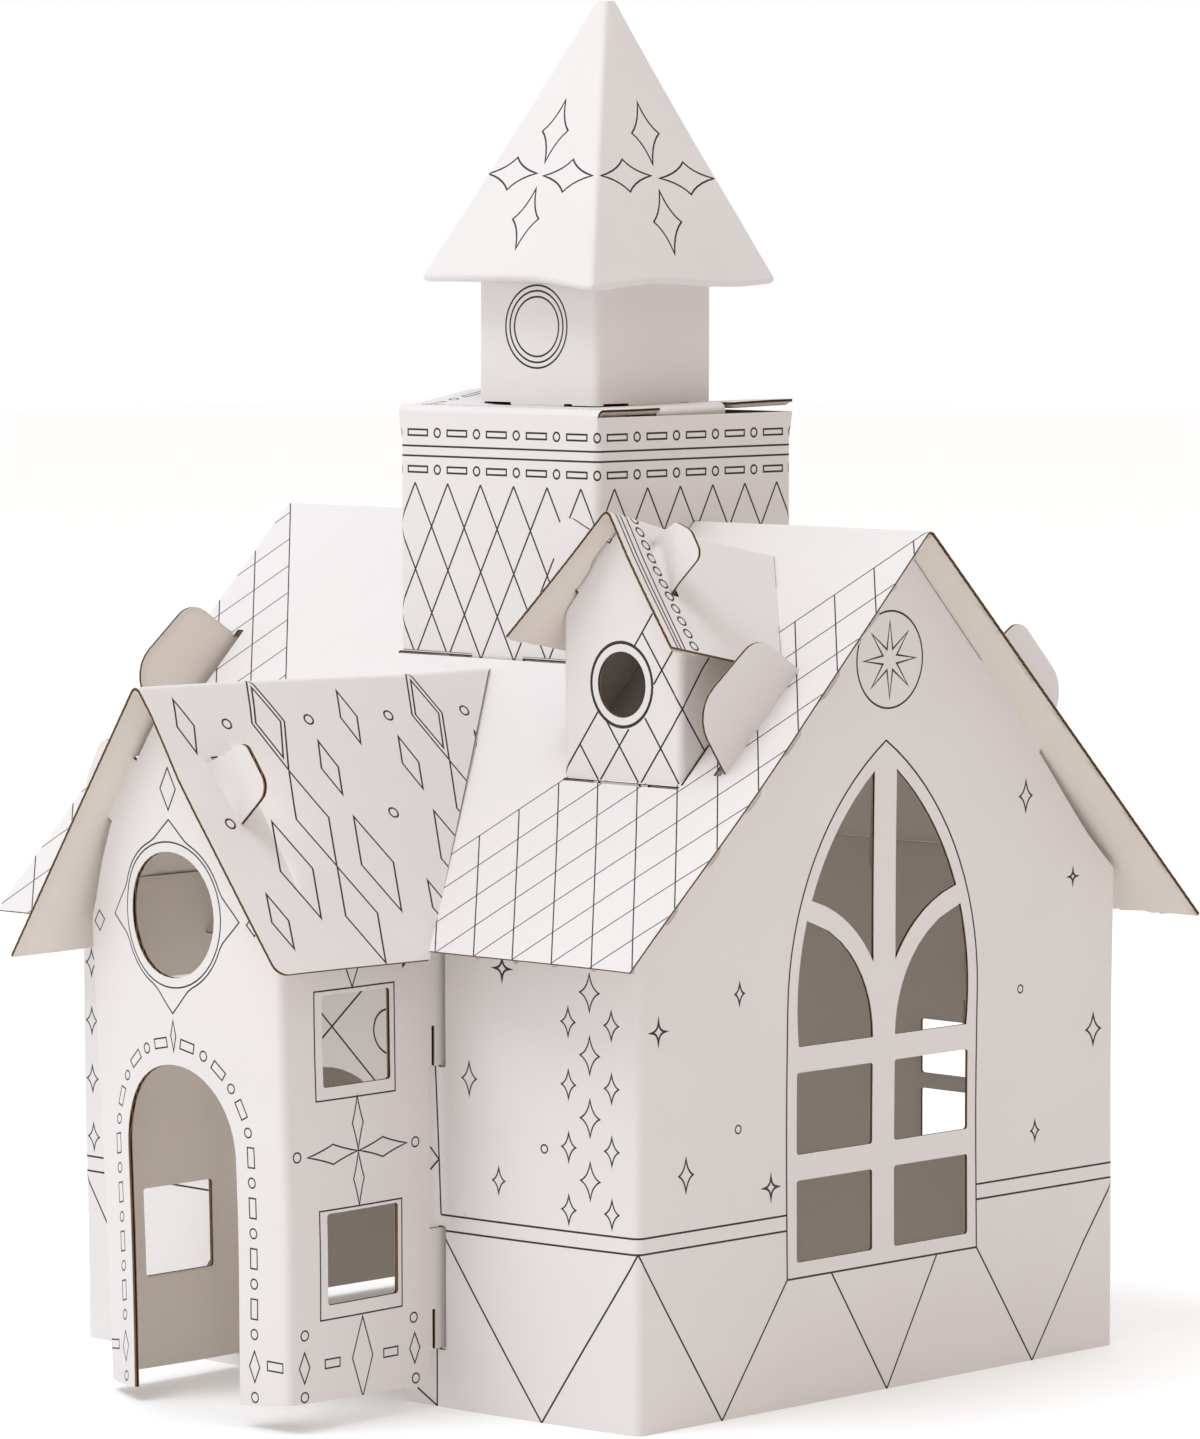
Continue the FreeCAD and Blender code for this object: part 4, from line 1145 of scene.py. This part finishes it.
def tower_base():
    """Flat sheet: u round the walls from the back left corner, v up; the lid hangs on the front wall."""
    side, half = TOWER_SIDE, TOWER_HALF
    peak = ROOF_RIDGE + FIT / cos(ROOF_PITCH)
    foot = peak - half * tan(ROOF_PITCH)
    flat = 1.15                     # the foot is cut flat for this far where it sits on the ridge
    low_peak = peak - flat * tan(ROOF_PITCH)
    walls = [(0, foot), (half - flat, low_peak), (half + flat, low_peak), (side, foot), (2 * side, foot),
             (2.5 * side - flat, low_peak), (2.5 * side + flat, low_peak), (3 * side, foot),
             (4 * side - SEAM, foot), (4 * side - SEAM, TOWER_TOP), (2 * side, TOWER_TOP)]
    lid = [(2 * side, LID_TOP + side), (side, LID_TOP + side), (side, TOWER_TOP), (0, TOWER_TOP)]
    edge = TOWER_FRONT_U + half
    solid = [walls + lid, side_tab(edge, 8, LID_MIDDLE - TONGUE_HALF, LID_MIDDLE + TONGUE_HALF),
             foot_tab(TOWER_FRONT_U, foot), foot_tab(TOWER_FRONT_U + 2 * side, foot)]
    # a short cut on each side of the tongue lets it fold down; the belfry's tabs go through four slots
    holes = [rectangle(edge - 4.2, LID_MIDDLE + at - 0.35, edge + 0.1, LID_MIDDLE + at + 0.35)
             for at in (-TONGUE_HALF - 0.35, TONGUE_HALF + 0.35)]
    slot = BELFRY_HALF - BOARD / 2
    for at in (-slot, slot):
        holes.append(block(TOWER_FRONT_U, LID_MIDDLE + at, 9.4, 1.1))
        holes.append(block(TOWER_FRONT_U + at, LID_MIDDLE, 1.1, 9.4))
    plan = four_walls(half, half)
    lid_fold = Bend([(half, LID_FOLD_FROM), (half, LID_TOP), (-half, LID_TOP)])
    tongue_fold = Bend([(0, LID_TOP), (-TONGUE_X, LID_TOP), (-TONGUE_X, LID_TOP - 20)])

    def place(u, v):
        if v <= TOWER_TOP + 0.03:   # the upright folds tighten towards the lid
            return Vector((*plan.at(u, max(0.05, min(1.0, (TOWER_TOP - v) / 7))), v))
        run = lid_fold.at(v - LID_FOLD_FROM)
        if abs(v - LID_MIDDLE) < TONGUE_HALF + 0.2 and u > TOWER_FRONT_U:
            across = tongue_fold.at(u - TOWER_FRONT_U)
            return Vector((-across.x, -run.x, across.y))
        return Vector((u - TOWER_FRONT_U, -run.x, run.y))

    def warp(point, u, v):
        """Two corners of the lid stand up."""
        lift = 1.3 * ease(LID_TOP + 10, LID_TOP + side, v) * ease(TOWER_FRONT_U, edge, u)
        lift += 3.7 * ease(LID_TOP + 3, LID_TOP + 30, v) * ease(14, half, TOWER_FRONT_U - u)
        return point + Vector((0, 0, lift * (v > LID_TOP) * (u < edge + 0.5)))

    marks_u = plan.marks() + spread(0, 4 * side) + [TOWER_FRONT_U + mark for mark in tongue_fold.marks()]
    marks_v = [LID_FOLD_FROM + mark for mark in lid_fold.marks()] + spread(170, 312)
    sheet("tower", "tower_base", solid, holes, shifted(tower_print(), side) + lid_print(), place, warp,
          marks_u, marks_v + [TOWER_TOP, TOWER_TOP - 3.5, TOWER_TOP - 7])


def tower_upper():
    """Flat sheet: u round the belfry from the back left corner, v up."""
    half, side = BELFRY_HALF, 2 * BELFRY_HALF
    low, top = LID_TOP + FIT, SPIRE_EAVE + 20
    solid = [rectangle(0, low, 4 * side - SEAM, top)]
    holes = []
    for k in range(4):
        centre = (k + 0.5) * side
        solid.append(foot_tab(centre, low, 8 + FIT))
        holes.append(rectangle(centre - 18, low - 1, centre - 9.2, low + 0.5, 0.2))
        holes.append(rectangle(centre + 9.2, low - 1, centre + 12, low + 0.4, 0.2))
    ink = strokes([circle(1.5 * side - 0.6, 260.1, radius, 44) for radius in (10.4, 9.0, 7.5)], LINE)

    def warp(point, u, v):
        """The left side leans out and the back too."""
        wave = 0.25 * ripple(point, 40, 9.1)
        left, back = 1.3 * min(0.0, point.x / half), 0.8 * max(0.0, point.y / half)
        return point + Vector((wave + left, wave + back, 0))

    plan = four_walls(half, half)
    sheet("belfry", "tower_upper", solid, holes, ink, upright(plan), warp,
          plan.marks() + spread(0, 4 * side), spread(low, top))


def spire():
    """Flat sheet: u round the eave, v up from the soffit's inner edge; the faces taper as they rise."""
    face = 2 * SPIRE_HALF
    inner = BELFRY_HALF + FIT
    soffit = SPIRE_HALF - inner
    slant = hypot(SPIRE_HALF - SPIRE_TIP_HALF, SPIRE_TIP - SPIRE_EAVE)
    fold = 1.3
    section = four_walls(1, 1, 1.0)
    profile = Bend([(inner, SPIRE_EAVE), (SPIRE_HALF, SPIRE_EAVE), (SPIRE_TIP_HALF, SPIRE_TIP)], fold)
    solid = [rectangle(0, 0, 4 * face - 0.8, soffit + slant)]
    holes = [rectangle(k * face - 0.5, -1, k * face + 0.5, soffit - 2.4, 0.3) for k in range(1, 4)]

    ink = []
    for index, (x, z) in enumerate(((0.3, 29.2), (-0.4, 28.8), (0.3, 28.1), (0.3, 29.2))):
        def on_face(across, up, index=index):
            """Flat point from the distance across a face and up it from the eave."""
            half = SPIRE_HALF - (SPIRE_HALF - SPIRE_TIP_HALF) * up / slant
            return ((index + 0.5 + across / (2 * half)) * face, soffit + up)
        petals = [sparkle(x + right, z + up, half_x, half_z, pinch=0.6) for right, up, half_x, half_z in (
            (0, 12.2, 4.6, 8.4), (0, -11.7, 4.6, 8.3), (-10.2, 0.7, 8.6, 4.4), (10.0, 0, 8.8, 4.4))]
        ink += moved(strokes(petals, LINE), on_face)

    def place(u, v):
        run = profile.at(v)
        point = section.at(u / SPIRE_HALF, min(fold / run.x, 0.8))
        return Vector((point.x * run.x, point.y * run.x, run.y))

    def warp(point, u, v):
        up = max(0.0, point.z - SPIRE_EAVE) / (SPIRE_TIP - SPIRE_EAVE)
        left, right = min(0.0, point.x / SPIRE_HALF), max(0.0, point.y / SPIRE_HALF)
        # the point stands a little over to the back, the eave spreads to the left and the right,
        # and the whole spire is set on with a slight twist
        x = 1.9 * up + 1.9 * left * (1 - up) + SPIRE_TWIST * point.y
        y = 1.9 * up + 4.2 * right * (1 - up) - SPIRE_TWIST * point.x
        # the eave rides up on the left, droops at the near corner and sags towards the right one
        across, along = SPIRE_HALF - point.x, SPIRE_HALF + point.y
        near = -1.9 * (1 - ease(0, 26, hypot(across, along)))
        rise = 0.7 * sin(pi * across / (2 * SPIRE_HALF)) * (1 - ease(0, 8, along))
        droop = -1.5 * exp(-((along - 47) / 14) ** 2) * (1 - ease(0, 8, across))
        wave = 0.3 * ripple(point, 35, 6.4)
        return point + Vector((x, y, (near + rise + droop + wave) * (1 - ease(0.0, 0.45, up))))

    marks_u = [SPIRE_HALF * mark for mark in section.marks()] + spread(0, 4 * face)
    marks_u += [k * face + step for k in range(1, 4) for step in (-5, -2.5, -1.2, 1.2, 2.5, 5)]
    sheet("spire", "spire", solid, holes, ink, place, warp,
          marks_u, profile.marks() + spread(0, soffit + slant))


for make in (main_walls, main_roof, porch_walls, porch_roof, dormer_walls, dormer_roof,
             tower_base, tower_upper, spire):
    make()


# ---------------------------------------------------------------- floor, light and camera

def show(name, data, at):
    """Puts a lamp or a camera in the scene, at a place in the row's frame."""
    shown = bpy.data.objects.new(name, data)
    bpy.context.scene.collection.objects.link(shown)
    shown.location = at
    return shown


def area_light(name, at, aim, size, power):
    lamp = show(name, bpy.data.lights.new(name, "AREA"), at)
    lamp.data.size = size
    lamp.data.energy = power
    lamp.rotation_euler = (aim - at).to_track_quat("-Z", "Y").to_euler()
    return lamp


def studio():
    """White room, dimmer and warmer low down on its right; looked at directly it is plain white."""
    world = bpy.data.worlds.new("studio")
    bpy.context.scene.world = world
    room = Graph(world)
    way = room.add("TexCoord", "Generated")
    low = room.remap(room.split(way, "Z"), 0.78, 0.1)
    right = room.remap(room.split(way, "X"), -0.1, 0.6)
    looked_at = room.add("LightPath", "Is Camera Ray")
    dim = room.maths("SUBTRACT", room.maths("MULTIPLY", low, right), looked_at, use_clamp=True)
    tone = room.mix(opaque(1, 1, 1), opaque(0.37, 0.24, 0.14), dim)
    room.fill(room.tree.nodes["Background"], {"Color": tone, "Strength": 1.0})


studio()

bpy.ops.mesh.primitive_plane_add(size=12, location=(0, 0, 0))
floor = bpy.context.object
floor.name = "floor"
floor.data.materials.append(material("floor_white").surface(
    Base_Color=opaque(0.93, 0.93, 0.93), Roughness=0.9,
    Emission_Color=opaque(1, 1, 1), Emission_Strength=0.11))

key = area_light("key", Vector((-0.15, -1.3, 2.5)), Vector((0, 0, 0.15)), 1.4, 27)
key.data.shape = "DISK"
key.data.color = (0.88, 0.94, 1.0)

# stands in for the light that bounces about in the porch
fill_x, fill_z = 10, 88
porch_fill = area_light("porch_fill", to_row(Vector((fill_x, PORCH_FRONT + 8, fill_z))),
                        to_row(Vector((fill_x, 0, fill_z))), 0.048, 0.010)
porch_fill.data.shape = "RECTANGLE"
porch_fill.data.size_y = 0.15
porch_fill.visible_camera = False

bpy.context.scene.view_settings.view_transform = "Standard"

PHOTO_WIDTH, FOCAL_PIXELS = 1200, 6455.5
YAW, PITCH, ROLL = radians(44.386), radians(4.51), radians(-0.079)
camera = show("camera", bpy.data.cameras.new("camera"), to_row(Vector((1147.08, -1170.49, 289.21))))
camera.data.sensor_fit = "HORIZONTAL"
camera.data.sensor_width = 36.0
camera.data.lens = camera.data.sensor_width * FOCAL_PIXELS / PHOTO_WIDTH
level = Vector((cos(YAW), sin(YAW), 0))
ahead = Vector((-sin(YAW) * cos(PITCH), cos(YAW) * cos(PITCH), -sin(PITCH)))
above = level.cross(ahead)
rolled = (level * cos(ROLL) + above * sin(ROLL), above * cos(ROLL) - level * sin(ROLL), -ahead)
camera.rotation_euler = Matrix(rolled).transposed().to_euler()
bpy.context.scene.camera = camera
